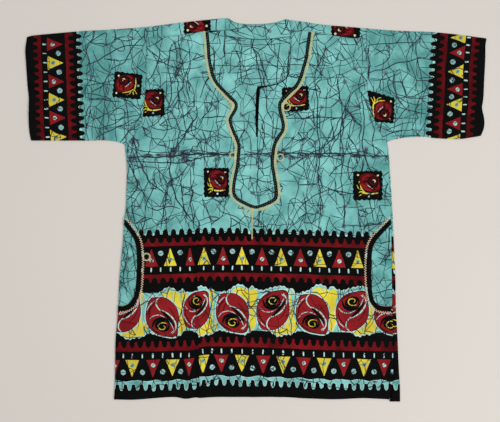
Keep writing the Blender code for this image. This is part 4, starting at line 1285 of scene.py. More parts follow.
def front_loop():
    """Closed outline of the front, as a list of its edges joined in order."""
    arm_left = smooth_path(ARM_LEFT, LOOP_STEP) + (HALF_GAP, 0)
    arm_left = arm_left[arm_left[:, 1] < SHOULDER_SEAM_LEFT[0][1] - 3]
    cut_left = pocket_opening(-1)
    side_left = smooth_path(SIDE_LEFT, LOOP_STEP)
    above = side_left[side_left[:, 1] > cut_left[0, 1] + 3][1:]
    below = side_left[side_left[:, 1] < cut_left[-1, 1] - 3][:-1]
    hem = smooth_path(HEM, LOOP_STEP)
    hem = hem[hem[:, 0] < WRAP_SEAM[-1][0] - 3]
    wrap_ys = np.linspace(WRAP_SEAM[-1][1], WRAP_SEAM[0][1], 104)
    wrap = np.column_stack([x_at(WRAP_SEAM, wrap_ys) - HALF_GAP, wrap_ys])
    wrap = np.vstack([[(wrap[0, 0], HEM[-1][1])], wrap])
    cut_right = pocket_opening(1)
    wrap_low = wrap[wrap[:, 1] < cut_right[-1, 1] - 2]
    wrap_high = wrap[wrap[:, 1] > cut_right[0, 1] + 2]
    wrap_high[-1, 1] += GAP
    side_right = smooth_path(SIDE_RIGHT, LOOP_STEP)[::-1]
    side_right = side_right[side_right[:, 1] > WRAP_SEAM[0][1] + 3][:-1]
    step = (x_at(SIDE_RIGHT, wrap_high[-1, 1]), wrap_high[-1, 1])
    arm_right = smooth_path(ARM_RIGHT, LOOP_STEP)[::-1] - (HALF_GAP, 0)
    arm_right = arm_right[arm_right[:, 1] < SHOULDER_SEAM_RIGHT[0][1] - 3]
    top_right = smooth_path(SHOULDER_SEAM_RIGHT, LOOP_STEP) - (0, HALF_GAP)
    top_right[0, 0] -= HALF_GAP
    top_left = smooth_path(SHOULDER_SEAM_LEFT, LOOP_STEP)[::-1] - (0, HALF_GAP)
    top_left[-1, 0] += HALF_GAP
    neck_right = smooth_path(NECK_RIGHT, LOOP_STEP)[::-1][1:]
    neck_left = smooth_path(NECK_LEFT, LOOP_STEP)[::-1][:-1]
    slit_x, slit_y = SLIT_END
    slit_ys = np.linspace(NECK_LEFT[-1][1], slit_y, 20)[1:]
    spread = np.linspace(0, 1, 20)[1:]
    down = np.column_stack([
        NECK_RIGHT[0][0] + (slit_x + SLIT_END_HALF - NECK_RIGHT[0][0]) * spread, slit_ys])
    up = np.column_stack([
        NECK_LEFT[-1][0] + (slit_x - SLIT_END_HALF - NECK_LEFT[-1][0]) * spread, slit_ys])
    corners = {}
    for side, cut in ((-1, cut_left), (1, cut_right)):
        for end in (0, -1):
            corners[side, end] = [(float(side_edge(side, cut[end, 1])), cut[end, 1])]
    return np.vstack([
        arm_left, above, corners[-1, 0], cut_left, corners[-1, -1], below, hem, wrap_low,
        corners[1, -1], cut_right[::-1], corners[1, 0], wrap_high, [step], side_right,
        arm_right, top_right, neck_right, down, up[::-1], neck_left, top_left])


def show_front(stuffs):
    """Front panel, lying over everything else."""
    def place(flat, half):
        return np.column_stack([flat, front_z(flat) + half])
    tuck = resample(to_cloth(TUCK), LOOP_STEP)
    return panel("front_cloth", front_loop(), front_print(), lining_print(), place,
                 stuffs, [tuck])


BACK_SIDE_TOP = WRAP_SEAM[0][1]
FLAP_TURN = math.pi * BEND
# Where the shoulders' flaps end beside the neck.
LEFT_FLAP_END = BACK_NECK[0][0] + 0.1
RIGHT_FLAP_END = BACK_NECK[-1][0] - 0.1


def shoulder_fold(side):
    """Fold line of one shoulder on the flat back, armhole first."""
    table = SHOULDER_FOLD_LEFT if side < 0 else SHOULDER_FOLD_RIGHT
    fold = smooth_path(table, LOOP_STEP)
    fold[0, 0] -= side * HALF_GAP
    return fold - (0, EDGE_INSET)


def side_fold():
    """Fold line of the right side on the flat back, from its top to the hem."""
    ys = np.linspace(BACK_SIDE_TOP, SIDE_RIGHT[-1][1], 106)
    return np.column_stack([x_at(SIDE_RIGHT, ys) - EDGE_INSET, ys])


def unfold_up(table, points):
    """Flat place of a point of a shoulder's flap, given where it shows."""
    fold = y_at(table, points[:, 0]) - EDGE_INSET
    return np.column_stack([points[:, 0], 2 * fold + FLAP_TURN - points[:, 1]])


def back_loop():
    """Outline of the whole back laid out flat, flaps included."""
    parts = []
    for side in (-1, 1):
        fold = shoulder_fold(side)
        table = SHOULDER_SEAM_LEFT if side < 0 else SHOULDER_SEAM_RIGHT
        fold_table = SHOULDER_FOLD_LEFT if side < 0 else SHOULDER_FOLD_RIGHT
        seam = np.column_stack([fold[:, 0], y_at(table, fold[:, 0]) + HALF_GAP])
        flat = unfold_up(fold_table, seam)
        rows = np.linspace(0, 1, 6)[:, None]
        start = fold[0] + rows * (flat[0] - fold[0])
        end = flat[-1] + rows * (fold[-1] - flat[-1])
        parts.append(np.vstack([start[:-1], flat[:-1], end[:-1]]))
    left, right = parts
    neck = smooth_path(BACK_NECK, LOOP_STEP)
    neck = neck[(neck[:, 0] > -60.5) & (neck[:, 0] < 68.5)]
    fold_neck_left, fold_neck_right = shoulder_fold(-1)[-1], shoulder_fold(1)[-1]
    arm_right = smooth_path(ARM_RIGHT, LOOP_STEP)[1:] - (HALF_GAP, 0)
    arm_right = arm_right[arm_right[:, 1] < shoulder_fold(1)[0, 1] - 2]
    side_right = smooth_path(SIDE_RIGHT, LOOP_STEP)
    side_right = side_right[side_right[:, 1] > BACK_SIDE_TOP + 3][1:]
    fold = side_fold()
    seam_ys = np.linspace(WRAP_SEAM[0][1], WRAP_SEAM[-1][1], len(fold))
    seam_x = x_at(WRAP_SEAM, seam_ys) + HALF_GAP
    flap = np.column_stack([2 * fold[:, 0] + FLAP_TURN - seam_x, fold[:, 1]])
    rows = np.linspace(0, 1, 5)[:, None]
    top = fold[0] + rows * (flap[0] - fold[0])
    foot = flap[-1] + rows * (fold[-1] - flap[-1])
    hem = smooth_path(HEM, LOOP_STEP)[::-1] + (0, HEM_TUCK_UNDER)
    hem = np.vstack([[(283.5, -377.5), (272, -377.5)], hem[hem[:, 0] < 266]])
    side_left = smooth_path(SIDE_LEFT, LOOP_STEP)[::-1][1:-1]
    hem[-1] = SIDE_LEFT[-1]
    arm_left = smooth_path(ARM_LEFT, LOOP_STEP)[::-1][:-1] + (HALF_GAP, 0)
    arm_left = arm_left[arm_left[:, 1] < shoulder_fold(-1)[0, 1] - 2]
    return np.vstack([
        left, [fold_neck_left], neck, [fold_neck_right], right[::-1],
        arm_right, side_right, top[:-1], flap, foot[1:], hem, side_left, arm_left])


def back_place(flat, half):
    """Back's flat points folded over the shoulders and the right side."""
    out = np.column_stack([flat, np.full(len(flat), LOW_Z - half)])
    radius = BEND + half

    def wrap(axis, fold, on):
        past = flat[:, axis] - fold
        bend = on & (past > 0) & (past < FLAP_TURN)
        turn = past / BEND
        out[bend, axis] = (fold + radius * np.sin(turn))[bend]
        out[bend, 2] = (LOW_Z + BEND - radius * np.cos(turn))[bend]
        flap = on & (past >= FLAP_TURN)
        out[flap, axis] = (fold - (past - FLAP_TURN))[flap]
        out[flap, 2] = TOP_Z + half

    wrap(1, y_at(SHOULDER_FOLD_LEFT, flat[:, 0]) - EDGE_INSET, flat[:, 0] < LEFT_FLAP_END)
    wrap(1, y_at(SHOULDER_FOLD_RIGHT, flat[:, 0]) - EDGE_INSET, flat[:, 0] > RIGHT_FLAP_END)
    wrap(0, x_at(SIDE_RIGHT, flat[:, 1]) - EDGE_INSET, flat[:, 1] < BACK_SIDE_TOP + MERGE)
    return out


def show_back(stuffs):
    """Back panel, flat below and folded over the shoulders and the right side."""
    cloth = back_print()
    for side, corners, dots in (
            (-1, ((184, 12), (210.5, 12), (210.5, 34), (184, 34)),
             ((187.8, 30.3), (206.6, 26))),
            (1, ((331.5, 15), (360, 15), (360, 38), (331.5, 38)),
             ((354.8, 35.5), (335.3, 33.8)))):
        flap = Print()
        patch(flap, corners, 37 + side, 180, stem=False)
        for u, v in dots:
            flap.lay(CREAM, ring(u, v, 1.2, 1.2, 8))
        table = SHOULDER_FOLD_LEFT if side < 0 else SHOULDER_FOLD_RIGHT
        for ink, outline, over, part in flap.shapes:
            cloth.shapes.append((ink, unfold_up(table, outline), over, part))
    lines = []
    for side in (-1, 1):
        for k in range(BEND_STEPS + 1):
            lines.append(shoulder_fold(side) + (0, FLAP_TURN * k / BEND_STEPS))
    for k in range(BEND_STEPS + 1):
        lines.append(side_fold() + (FLAP_TURN * k / BEND_STEPS, 0))
    inside_neck = plain_print(93, ((220, 34), (296, 92)), 9.6, 10, 30, NECK_CRACKS)
    # Painted shadow: the back's inside under the slit is laid black, as the shade in the slit.
    inside_neck.lay(BLACK, [(254.5, 86), (261, 86), (259, 138), (255, 138)])
    inside_neck.lay(BLACK, [(384, 228), (408, 228), (408, 406), (384, 406)])
    # Painted shadow: a thin dark line on the back's inside along the facing's lower edge.
    inside_neck.lay(CRACKLE, brush([(225, 35.6), (240, 38), (258, 39.4), (274, 38.6),
                                    (291, 36.4)], 0.6, 0.8))
    return panel("back_cloth", back_loop(), cloth, inside_neck, back_place, stuffs,
                 lines, grid=6.5, face_down=True)


def tube(verts, faces, inks, rim, folds, lift, half):
    """Both layers of a sleeve pressed flat, joined by a bend along each fold."""
    count = len(verts)
    centre, radius = LOW_Z + BEND, BEND + half
    top = np.column_stack([verts, lift(verts) + half])
    low = np.column_stack([verts, np.full(count, LOW_Z - half)])
    points = [top, low]
    all_faces = [tuple(f) for f in faces] + [tuple(count + f[::-1]) for f in faces]
    all_inks = list(inks) + list(inks)
    shared = list(range(rim)) + list(range(count, count + rim))
    rim_ink = {}
    for f, ink in zip(faces, inks):
        for i in f:
            if i < rim:
                rim_ink[int(i)] = ink
    size = 2 * count
    turns = np.linspace(0, math.pi, BEND_STEPS + 1)[1:-1]
    for chain, direction in folds:
        rows = [[count + i for i in chain]]
        for turn in turns:
            flat = verts[chain]
            points.append(np.column_stack([
                flat[:, 0], flat[:, 1] + direction * radius * math.sin(turn),
                np.full(len(chain), centre - radius * math.cos(turn))]))
            rows.append(list(range(size, size + len(chain))))
            shared += rows[-1]
            size += len(chain)
        rows.append(list(chain))
        for lower, upper in zip(rows[:-1], rows[1:]):
            for i in range(len(chain) - 1):
                all_faces.append((lower[i + 1], lower[i], upper[i], upper[i + 1]))
                all_inks.append(rim_ink[int(chain[i])])
    return np.vstack(points), all_faces, all_inks, shared


def show_one_sleeve(name, top_table, bottom_table, arm_table, cuff_table, gap, stuffs):
    """A sleeve: tube pressed flat from armhole to cuff."""
    top = smooth_path(top_table, LOOP_STEP) - (0, EDGE_INSET)
    bottom = smooth_path(bottom_table, LOOP_STEP) + (0, EDGE_INSET)
    arm = smooth_path(arm_table, LOOP_STEP) + (gap, 0)
    cuff = smooth_path(cuff_table, LOOP_STEP)
    top[0, 0] += gap
    bottom[0, 0] += gap
    cuff = cuff[(cuff[:, 1] < top[-1, 1] - 2) & (cuff[:, 1] > bottom[-1, 1] + 2)]
    arm = arm[(arm[:, 1] < top[0, 1] - 2) & (arm[:, 1] > bottom[0, 1] + 2)]
    loop = np.vstack([top, cuff, bottom[::-1], arm[::-1]])
    cloth = show_sleeve(name)
    dark_u = (22, 78) if gap < 0 else (422, 478)
    black = [(dark_u[0], 20), (dark_u[1], 20), (dark_u[1], 150), (dark_u[0], 150)]
    top_y = np.array(sorted(top.tolist()))
    low_y = np.array(sorted(bottom.tolist()))

    def lift(flat):
        high = np.interp(flat[:, 0], *top_y.T)
        deep = np.interp(flat[:, 0], *low_y.T)
        share = (high - flat[:, 1]) / (high - deep)
        from_fold = np.minimum(share, 1 - share) / 0.16
        out = path_distance(flat, np.array(arm_table, dtype=float)) / 22.0
        creases = fold_height(flat, FOLDS) + CREASE_DEPTH * fold_height(flat, CREASES)
        return TOP_Z + ease(from_fold) * ease(out) * creases

    outer, inner, rim = both_sides(loop, cloth, lining_print([black]))
    verts = outer[0]
    folds = []
    for path, direction in ((top, 1), (bottom, -1)):
        on = [i for i in range(rim) if path_distance(verts[i:i + 1], path)[0] < 0.02]
        on.sort(key=lambda i: verts[i, 0] * direction)
        folds.append((on, direction))
    points, faces, inks = close_shell(tube(*outer, rim, folds, lift, HALF),
                                      tube(*inner, rim, folds, lift, -HALF))
    return cloth_object(name + "_cloth", points, faces, inks, stuffs), (
        2 * flat_area(*outer[:2]))


def over_the_back(flat, half):
    """Flat points at the height of a level piece that lies on the back."""
    return np.column_stack([flat, np.full(len(flat), TOP_Z + half)])


def show_pocket(name, side, stuffs):
    """Pocket piece between the layers, turquoise with crackle."""
    loop = pocket_outline(side)
    if side < 0:
        loop = loop[::-1]
    region = ((108, 214), (156, 324)) if side < 0 else ((360, 214), (402, 324))
    return panel(name + "_cloth", loop, plain_print(95 + side, region, 9.0, 14, 22),
                 lining_print(), over_the_back, stuffs)


def show_facing(stuffs):
    """Facing inside the back of the neck."""
    xs = np.linspace(NECK_LEFT[0][0] + 1.0, NECK_RIGHT[-1][0] - 1.0, 30)
    foot = y_at(((-62, 379), (4, 371.5), (70, 377)), xs) - FACING_DEPTH
    top = y_at(BACK_NECK, xs) - 1.5
    loop = np.vstack([np.column_stack([xs, foot]), np.column_stack([xs, top])[::-1]])
    return panel("neck_facing_cloth", loop, plain_print(99, ((222, 14), (294, 42)), 9.6, 3, 10),
                 lining_print(), over_the_back, stuffs)


def band(name, table, profile, side, stuff):
    """Band on the front: across its width the profile gives place and height."""
    path = smooth_path(table, EDGE_STEP)
    rows = []
    count = None
    for across, height in profile:
        edge = offset_path(path, across)
        if side:
            edge = edge[side * (side_edge(side, edge[:, 1]) - edge[:, 0]) > 0.6]
        count = count or len(edge)
        share = np.linspace(0, len(edge) - 1, count)
        row = np.column_stack([np.interp(share, np.arange(len(edge)), edge[:, k])
                               for k in (0, 1)])
        rows.append(np.column_stack([row, front_z(row) + HALF + height]))
    points = np.vstack(rows)
    ring_size = len(rows)
    faces = []
    for j in range(ring_size):
        k = (j + 1) % ring_size
        for i in range(count - 1):
            a, b = j * count + i, k * count + i
            faces.append((a, a + 1, b + 1, b))
    faces.append(tuple(j * count for j in range(ring_size)))
    faces.append(tuple(j * count + count - 1 for j in range(ring_size))[::-1])
    return cloth_object(name, points, faces, np.zeros(len(faces)), [stuff])


def add_node(tree, kind, values=None, links=(), **settings):
    """Adds a node with its settings, values and links: (input, source, output)."""
    node = tree.nodes.new(kind)
    for key, value in settings.items():
        setattr(node, key, value)
    for key, value in (values or {}).items():
        node.inputs[key].default_value = value
    for target, source, output in links:
        tree.links.new(source.outputs[output], node.inputs[target])
    return node


def path_mesh(name, paths, closed=False):
    """Edges along each path, lying on the front's cloth."""
    points, edges = [], []
    for path in paths:
        flat = np.array(path, dtype=float)
        edges += edge_run(len(points), len(flat), closed)
        height = front_z(flat) + HALF
        points += [(x * MM, y * MM, z * MM) for (x, y), z in zip(flat, height)]
    mesh = bpy.data.meshes.new(name)
    mesh.from_pydata(points, edges, [])
    return add_object(name, mesh)


def sewing_group(name, sizes):
    """Node group that turns edges into thread: its inputs, and the path as a curve."""
    tree = bpy.data.node_groups.new(name, "GeometryNodeTree")
    sockets = tree.interface
    sockets.new_socket("Geometry", in_out="INPUT", socket_type="NodeSocketGeometry")
    for label in sizes:
        sockets.new_socket(label, in_out="INPUT", socket_type="NodeSocketFloat")
    sockets.new_socket("Stuff", in_out="INPUT", socket_type="NodeSocketMaterial")
    sockets.new_socket("Geometry", in_out="OUTPUT", socket_type="NodeSocketGeometry")
    given = add_node(tree, "NodeGroupInput")
    curve = add_node(tree, "GeometryNodeMeshToCurve", links=[("Mesh", given, "Geometry")])
    return tree, given, curve


def raised(tree, given, curve):
    """The curve lifted off the cloth."""
    up = add_node(tree, "ShaderNodeCombineXYZ", links=[("Z", given, "Lift")])
    return add_node(tree, "GeometryNodeSetPosition",
                    links=[("Geometry", curve, "Curve"), ("Offset", up, "Vector")])


def close_group(tree, given, thread, output):
    """Makes the thread real, gives it its material and hands it out."""
    real = add_node(tree, "GeometryNodeRealizeInstances", links=[("Geometry", thread, output)])
    done = add_node(tree, "GeometryNodeSetMaterial",
                    links=[("Geometry", real, "Geometry"), ("Material", given, "Stuff")])
    add_node(tree, "NodeGroupOutput", links=[("Geometry", done, "Geometry")])
    return tree


def chain_nodes():
    """Row of chain links along a path: each an oval loop of thread."""
    tree, given, curve = sewing_group(
        "chain_stitch", ("Pitch", "Link length", "Link width", "Thread", "Lift"))
    even = add_node(tree, "GeometryNodeResampleCurve", mode="LENGTH",
                    links=[("Curve", curve, "Curve"), ("Length", given, "Pitch")])
    link = add_node(tree, "GeometryNodeCurvePrimitiveCircle", {"Resolution": 9, "Radius": 0.5})
    size = add_node(tree, "ShaderNodeCombineXYZ", {"Z": 1.0},
                    [("X", given, "Link length"), ("Y", given, "Link width")])
    oval = add_node(tree, "GeometryNodeTransform",
                    links=[("Geometry", link, "Curve"), ("Scale", size, "Vector")])
    thread = add_node(tree, "GeometryNodeCurvePrimitiveCircle", {"Resolution": 5},
                      [("Radius", given, "Thread")])
    solid = add_node(tree, "GeometryNodeCurveToMesh",
                     links=[("Curve", oval, "Geometry"), ("Profile Curve", thread, "Curve")])
    tangent = add_node(tree, "GeometryNodeInputTangent")
    aim = add_node(tree, "FunctionNodeAlignRotationToVector", axis="X",
                   links=[("Vector", tangent, "Tangent")])
    # Each link is a little longer, wider or thicker than the next, as sewn by hand.
    sway = add_node(tree, "FunctionNodeRandomValue", {"Seed": 4}, data_type="FLOAT_VECTOR")
    sway.inputs["Min"].default_value = (0.82, 0.75, 0.8)
    sway.inputs["Max"].default_value = (1.15, 1.2, 1.2)
    row = add_node(tree, "GeometryNodeInstanceOnPoints",
                   links=[("Points", raised(tree, given, even), "Geometry"),
                          ("Instance", solid, "Mesh"), ("Rotation", aim, "Rotation"),
                          ("Scale", sway, "Value")])
    return close_group(tree, given, row, "Instances")


def thread_nodes():
    """Plain thread laid along a path."""
    tree, given, curve = sewing_group("laid_thread", ("Thread", "Lift"))
    thread = add_node(tree, "GeometryNodeCurvePrimitiveCircle", {"Resolution": 6},
                      [("Radius", given, "Thread")])
    solid = add_node(tree, "GeometryNodeCurveToMesh", {"Fill Caps": True},
                     [("Curve", raised(tree, given, curve), "Geometry"),
                      ("Profile Curve", thread, "Curve")])
    return close_group(tree, given, solid, "Mesh")


def sewn(name, paths, tree, values, closed=False):
    """Sews along the paths and returns the thread as a plain mesh."""
    obj = path_mesh(name, paths, closed)
    modifier = obj.modifiers.new("Sewing", "NODES")
    modifier.node_group = tree
    for socket in tree.interface.items_tree:
        if socket.in_out == "INPUT" and socket.name in values:
            modifier[socket.identifier] = values[socket.name]
    obj.update_tag()
    graph = bpy.context.evaluated_depsgraph_get()
    mesh = bpy.data.meshes.new_from_object(obj.evaluated_get(graph), depsgraph=graph)
    obj.modifiers.clear()
    obj.data = mesh
    mesh.polygons.foreach_set("use_smooth", np.ones(len(mesh.polygons), dtype=bool))
    return obj


def zigzag(path, pitch, reach):
    """Path that swings from side to side of another."""
    even = resample(path, pitch)
    swing = np.where(np.arange(len(even)) % 2, reach, -reach)[:, None]
    return even + swing * sideways(even)


def colour(text):
    """Linear colour from its sRGB hex code."""
    parts = [int(text[i:i + 2], 16) / 255 for i in (1, 3, 5)]
    return tuple(c / 12.92 if c <= 0.04045 else ((c + 0.055) / 1.055) ** 2.4
                 for c in parts) + (1.0,)


def repeats(size):
    """Scale of a pattern whose features are the given number of millimetres wide."""
    return 1.0 / (size * MM)


# Sockets of a colour mix: its two colours, and what comes out.
MIX_FIRST, MIX_SECOND, MIX_OUT = 6, 7, 2


def plain_material(name, roughness, sheen, gloss):
    """New material, its nodes, its shader and a node for places on the object."""
    stuff = bpy.data.materials.new(name)
    stuff.use_nodes = True
    tree = stuff.node_tree
    shader = tree.nodes["Principled BSDF"]
    shader.inputs["Roughness"].default_value = roughness
    shader.inputs["Sheen Weight"].default_value = sheen
    shader.inputs["Specular IOR Level"].default_value = gloss
    return stuff, tree, shader, add_node(tree, "ShaderNodeTexCoord")


def pattern(tree, where, kind, scale, values=None, **settings):
    """Pattern that lies in the object's own coordinates."""
    return add_node(tree, kind, {"Scale": scale, **(values or {})},
                    [("Vector", where, "Object")], **settings)


def plus(tree, first, first_out, second, second_out):
    """Sum of two values."""
    return add_node(tree, "ShaderNodeMath",
                    links=[(0, first, first_out), (1, second, second_out)], operation="ADD")


def times(tree, source, output, factor):
    """A value made weaker."""
    return add_node(tree, "ShaderNodeMath", {1: factor}, [(0, source, output)],
                    operation="MULTIPLY")


def two_tones(tree, shader, share, output, main, darker_tone):
    """Gives the shader a colour that runs from one tone to the other."""
    tone = add_node(tree, "ShaderNodeMix", links=[("Factor", share, output)],
                    data_type="RGBA")
    tone.inputs[MIX_FIRST].default_value = colour(main)
    tone.inputs[MIX_SECOND].default_value = colour(darker_tone)
    tree.links.new(tone.outputs[MIX_OUT], shader.inputs["Base Color"])


def printed_cotton(name, main, darker_tone, sheen=0.05, gloss=0.12):
    """Plain-woven cotton, dyed by hand: cloudy colour, uneven from one cracked field of wax to
    the next and darker towards the sleeves; fine threads, a soft bloom."""
    stuff, tree, shader, where = plain_material(name, 0.88, sheen, gloss)
    shader.inputs["Sheen Roughness"].default_value = 0.5
    noise, wave = "ShaderNodeTexNoise", "ShaderNodeTexWave"
    cloud = pattern(tree, where, noise, repeats(36), {"Detail": 4.0})
    grain = pattern(tree, where, noise, repeats(2.4), {"Detail": 2.0})
    both = plus(tree, cloud, "Fac", times(tree, grain, "Fac", 0.3), 0)
    fields = pattern(tree, where, "ShaderNodeTexVoronoi", repeats(19), {"Smoothness": 0.5},
                     feature="SMOOTH_F1")
    cells = plus(tree, both, 0, times(tree, fields, "Color", 0.22), 0)
    apart = add_node(tree, "ShaderNodeSeparateXYZ", links=[("Vector", where, "Object")])
    off_middle = add_node(tree, "ShaderNodeMath", links=[(0, apart, "X")],
                          operation="ABSOLUTE")
    # From 0.12 m off the middle outwards, towards the sleeves, the colour is darker.
    sleeve = add_node(tree, "ShaderNodeMapRange",
                      {"From Min": 0.12, "From Max": 0.34, "To Max": 0.2},
                      [("Value", off_middle, 0)])
    deeper = plus(tree, cells, 0, sleeve, "Result")
    spread = add_node(tree, "ShaderNodeMapRange", {"From Min": 0.5, "From Max": 1.04},
                      [("Value", deeper, 0)])
    two_tones(tree, shader, spread, "Result", main, darker_tone)
    # Real threads lie 0.4 mm apart; they are drawn 1 mm apart so that they show at all.
    weave_scale = math.tau / 20 * repeats(1.0)
    across = pattern(tree, where, wave, weave_scale, {"Distortion": 0.6}, bands_direction="X")
    along = pattern(tree, where, wave, weave_scale, {"Distortion": 0.6}, bands_direction="Y")
    weave = plus(tree, across, "Fac", along, "Fac")
    threads = add_node(tree, "ShaderNodeBump", {"Strength": 0.25, "Distance": 0.0001},
                       [("Height", weave, 0)])
    rumple = pattern(tree, where, noise, repeats(13), {"Detail": 3.0})
    soft = add_node(tree, "ShaderNodeBump", {"Strength": 0.35, "Distance": 0.0008},
                    [("Height", rumple, "Fac"), ("Normal", threads, "Normal")])
    tree.links.new(soft.outputs["Normal"], shader.inputs["Normal"])
    return stuff


def sewing_thread(name, main, darker_tone, roughness=0.6, sheen=0.3, gloss=0.5):
    """Spun sewing thread: slight twist and uneven dye, a little brighter than cloth."""
    stuff, tree, shader, where = plain_material(name, roughness, sheen, gloss)
    patchy = pattern(tree, where, "ShaderNodeTexNoise", repeats(11), {"Detail": 3.0})
    two_tones(tree, shader, patchy, "Fac", main, darker_tone)
    twist = pattern(tree, where, "ShaderNodeTexNoise", repeats(0.7), {"Detail": 1.0})
    fibres = add_node(tree, "ShaderNodeBump", {"Strength": 0.5, "Distance": 0.0002},
                      [("Height", twist, "Fac")])
    tree.links.new(fibres.outputs["Normal"], shader.inputs["Normal"])
    return stuff


def table_top():
    """Pale painted table: almost even, faintly clouded, so that the cloth stands out."""
    stuff, tree, shader, where = plain_material("pale_painted_table", 0.6, 0.0, 0.2)
    cloud = pattern(tree, where, "ShaderNodeTexNoise", repeats(500), {"Detail": 2.0})
    two_tones(tree, shader, cloud, "Fac", "#d6d0ca", "#cecac5")
    return stuff


# Each ink's colour, its deeper tone, and its bloom and gloss where they aren't the usual.
# Black and the reds have almost no bloom, so they stay deep beside the bright ground.
INK_COLOURS = {
    "turquoise": ("#8ad0cd", "#4d8e8c"),
    "black": ("#070808", "#0b0c0c", 0.0, 0.04),
    "red": ("#931f24", "#731419", 0.03, 0.08),
    "yellow": ("#e8da40", "#bfae36"),
    "cream": ("#e4ddb6", "#cbbf8e"),
    "crackle": ("#182e33", "#2b2c36", 0.02, 0.06),
    "wine": ("#4f1014", "#3c0b0e", 0.0, 0.05),
    "pale": ("#c6e4de", "#9cc4be"),
    "deep_red": ("#7c161b", "#470a0e", 0.0, 0.05),
    "haze": ("#658f94", "#56707d"),
    "washed": ("#a9cdca", "#7ba5a4"),
}


# Profiles of the bands on the front: place across the width and height above the cloth.
BRAID_PROFILE = (
    (-3.1, 0.1), (-2.8, 0.65), (-1.7, 1.1), (-0.5, 0.7), (0, 0.4), (0.5, 0.7), (1.7, 1.1),
    (2.8, 0.65), (3.1, 0.1), (0, 0.1),
)
BINDING_PROFILE = (
    (-4.5, 0.1), (-4.3, 0.8), (-2, 1.0), (0, 0.95), (2, 1.0), (4.3, 0.8), (4.5, 0.1),
    (0, 0.1),
)

# Sizes of the stitches. Thread is its radius, Lift how high its middle lies on the cloth.
CHAIN = {"Pitch": 2.6, "Link length": 4.0, "Link width": 3.8, "Thread": 0.7, "Lift": 0.4}
THIN_CHAIN = {"Pitch": 2.6, "Link length": 3.4, "Link width": 1.9, "Thread": 0.55,
              "Lift": 0.4}
FLECKS = {"Pitch": 5.0, "Link length": 1.6, "Link width": 0.9, "Thread": 0.3, "Lift": 0.6}
SHADOW_LINE_STITCH = {"Thread": 0.8, "Lift": 0.35}
POCKET_STITCH = {"Thread": 0.9, "Lift": 0.5}

CHAIN_FROM_BRAID = 6.2
ZIGZAG_FROM_BINDING = 7.4
ZIGZAG_FROM_EDGE = 2.0
ZIGZAG_PITCH = 2.4
ZIGZAG_REACH = 1.9

# Stitched rings: centre on the chart, and radius in millimetres.
RINGS = (
    (230.8, 105, 6), (286.4, 107, 7.5), (232.9, 155.5, 6), (280.3, 157.5, 6.5),
    (146.8, 256.8, 7),
)
RING_POINTS = 16
# The line that hangs from the braid, the fan of threads at its top, and the dark thread laid as
# a painted shadow below the braid.
PENDANT = ((-6, 2), (-7.4, -20), (-8, -57))
PENDANT_FAN = (
    ((-28, 0), (-20, -6), (-13, -15)), ((-12, -2), (-8, -14)), ((25, 4), (16, -1)),
)
SHADOW_LINE_BELOW_BRAID = ((8, 0), (6.4, -16), (4, -33))


def make_cloths(stuffs):
    """The seven cloth pieces, and the area of each one's flat cut."""
    pieces = {
        "back": show_back(stuffs),
        "pocket_left": show_pocket("pocket_left", -1, stuffs),
        "pocket_right": show_pocket("pocket_right", 1, stuffs),
        "facing": show_facing(stuffs),
        "front": show_front(stuffs),
        "sleeve_left": show_one_sleeve(
            "sleeve_left", SLEEVE_TOP_LEFT, SLEEVE_BOTTOM_LEFT, ARM_LEFT, CUFF_LEFT,
            -HALF_GAP, stuffs),
        "sleeve_right": show_one_sleeve(
            "sleeve_right", SLEEVE_TOP_RIGHT, SLEEVE_BOTTOM_RIGHT, ARM_RIGHT, CUFF_RIGHT,
            HALF_GAP, stuffs),
    }
    return ({key: piece for key, (piece, _) in pieces.items()},
            {key: area for key, (_, area) in pieces.items()})


def make_bands(made, stuffs):
    """Braid round the neck and chest, and a binding along each pocket."""
    # Plaited black cotton, matt: only its two ridges catch the light.
    braid = sewing_thread("black_cotton_braid_plaited", "#080a09", "#121513", 0.9, 0.03, 0.08)
    made["braid"] = band("neck_braid_cloth", NECK_BRAID, BRAID_PROFILE, 0, braid)
    for key, table, side in (("binding_left", BINDING_LEFT, -1),
                             ("binding_right", BINDING_RIGHT, 1)):
        made[key] = band(f"pocket_{key}_cloth", table, BINDING_PROFILE, side, stuffs[BLACK])


def stitch(sizes, thread):
    """Inputs of a sewing group: sizes in metres, and the thread's material."""
    return {**{label: size * MM for label, size in sizes.items()}, "Stuff": thread}


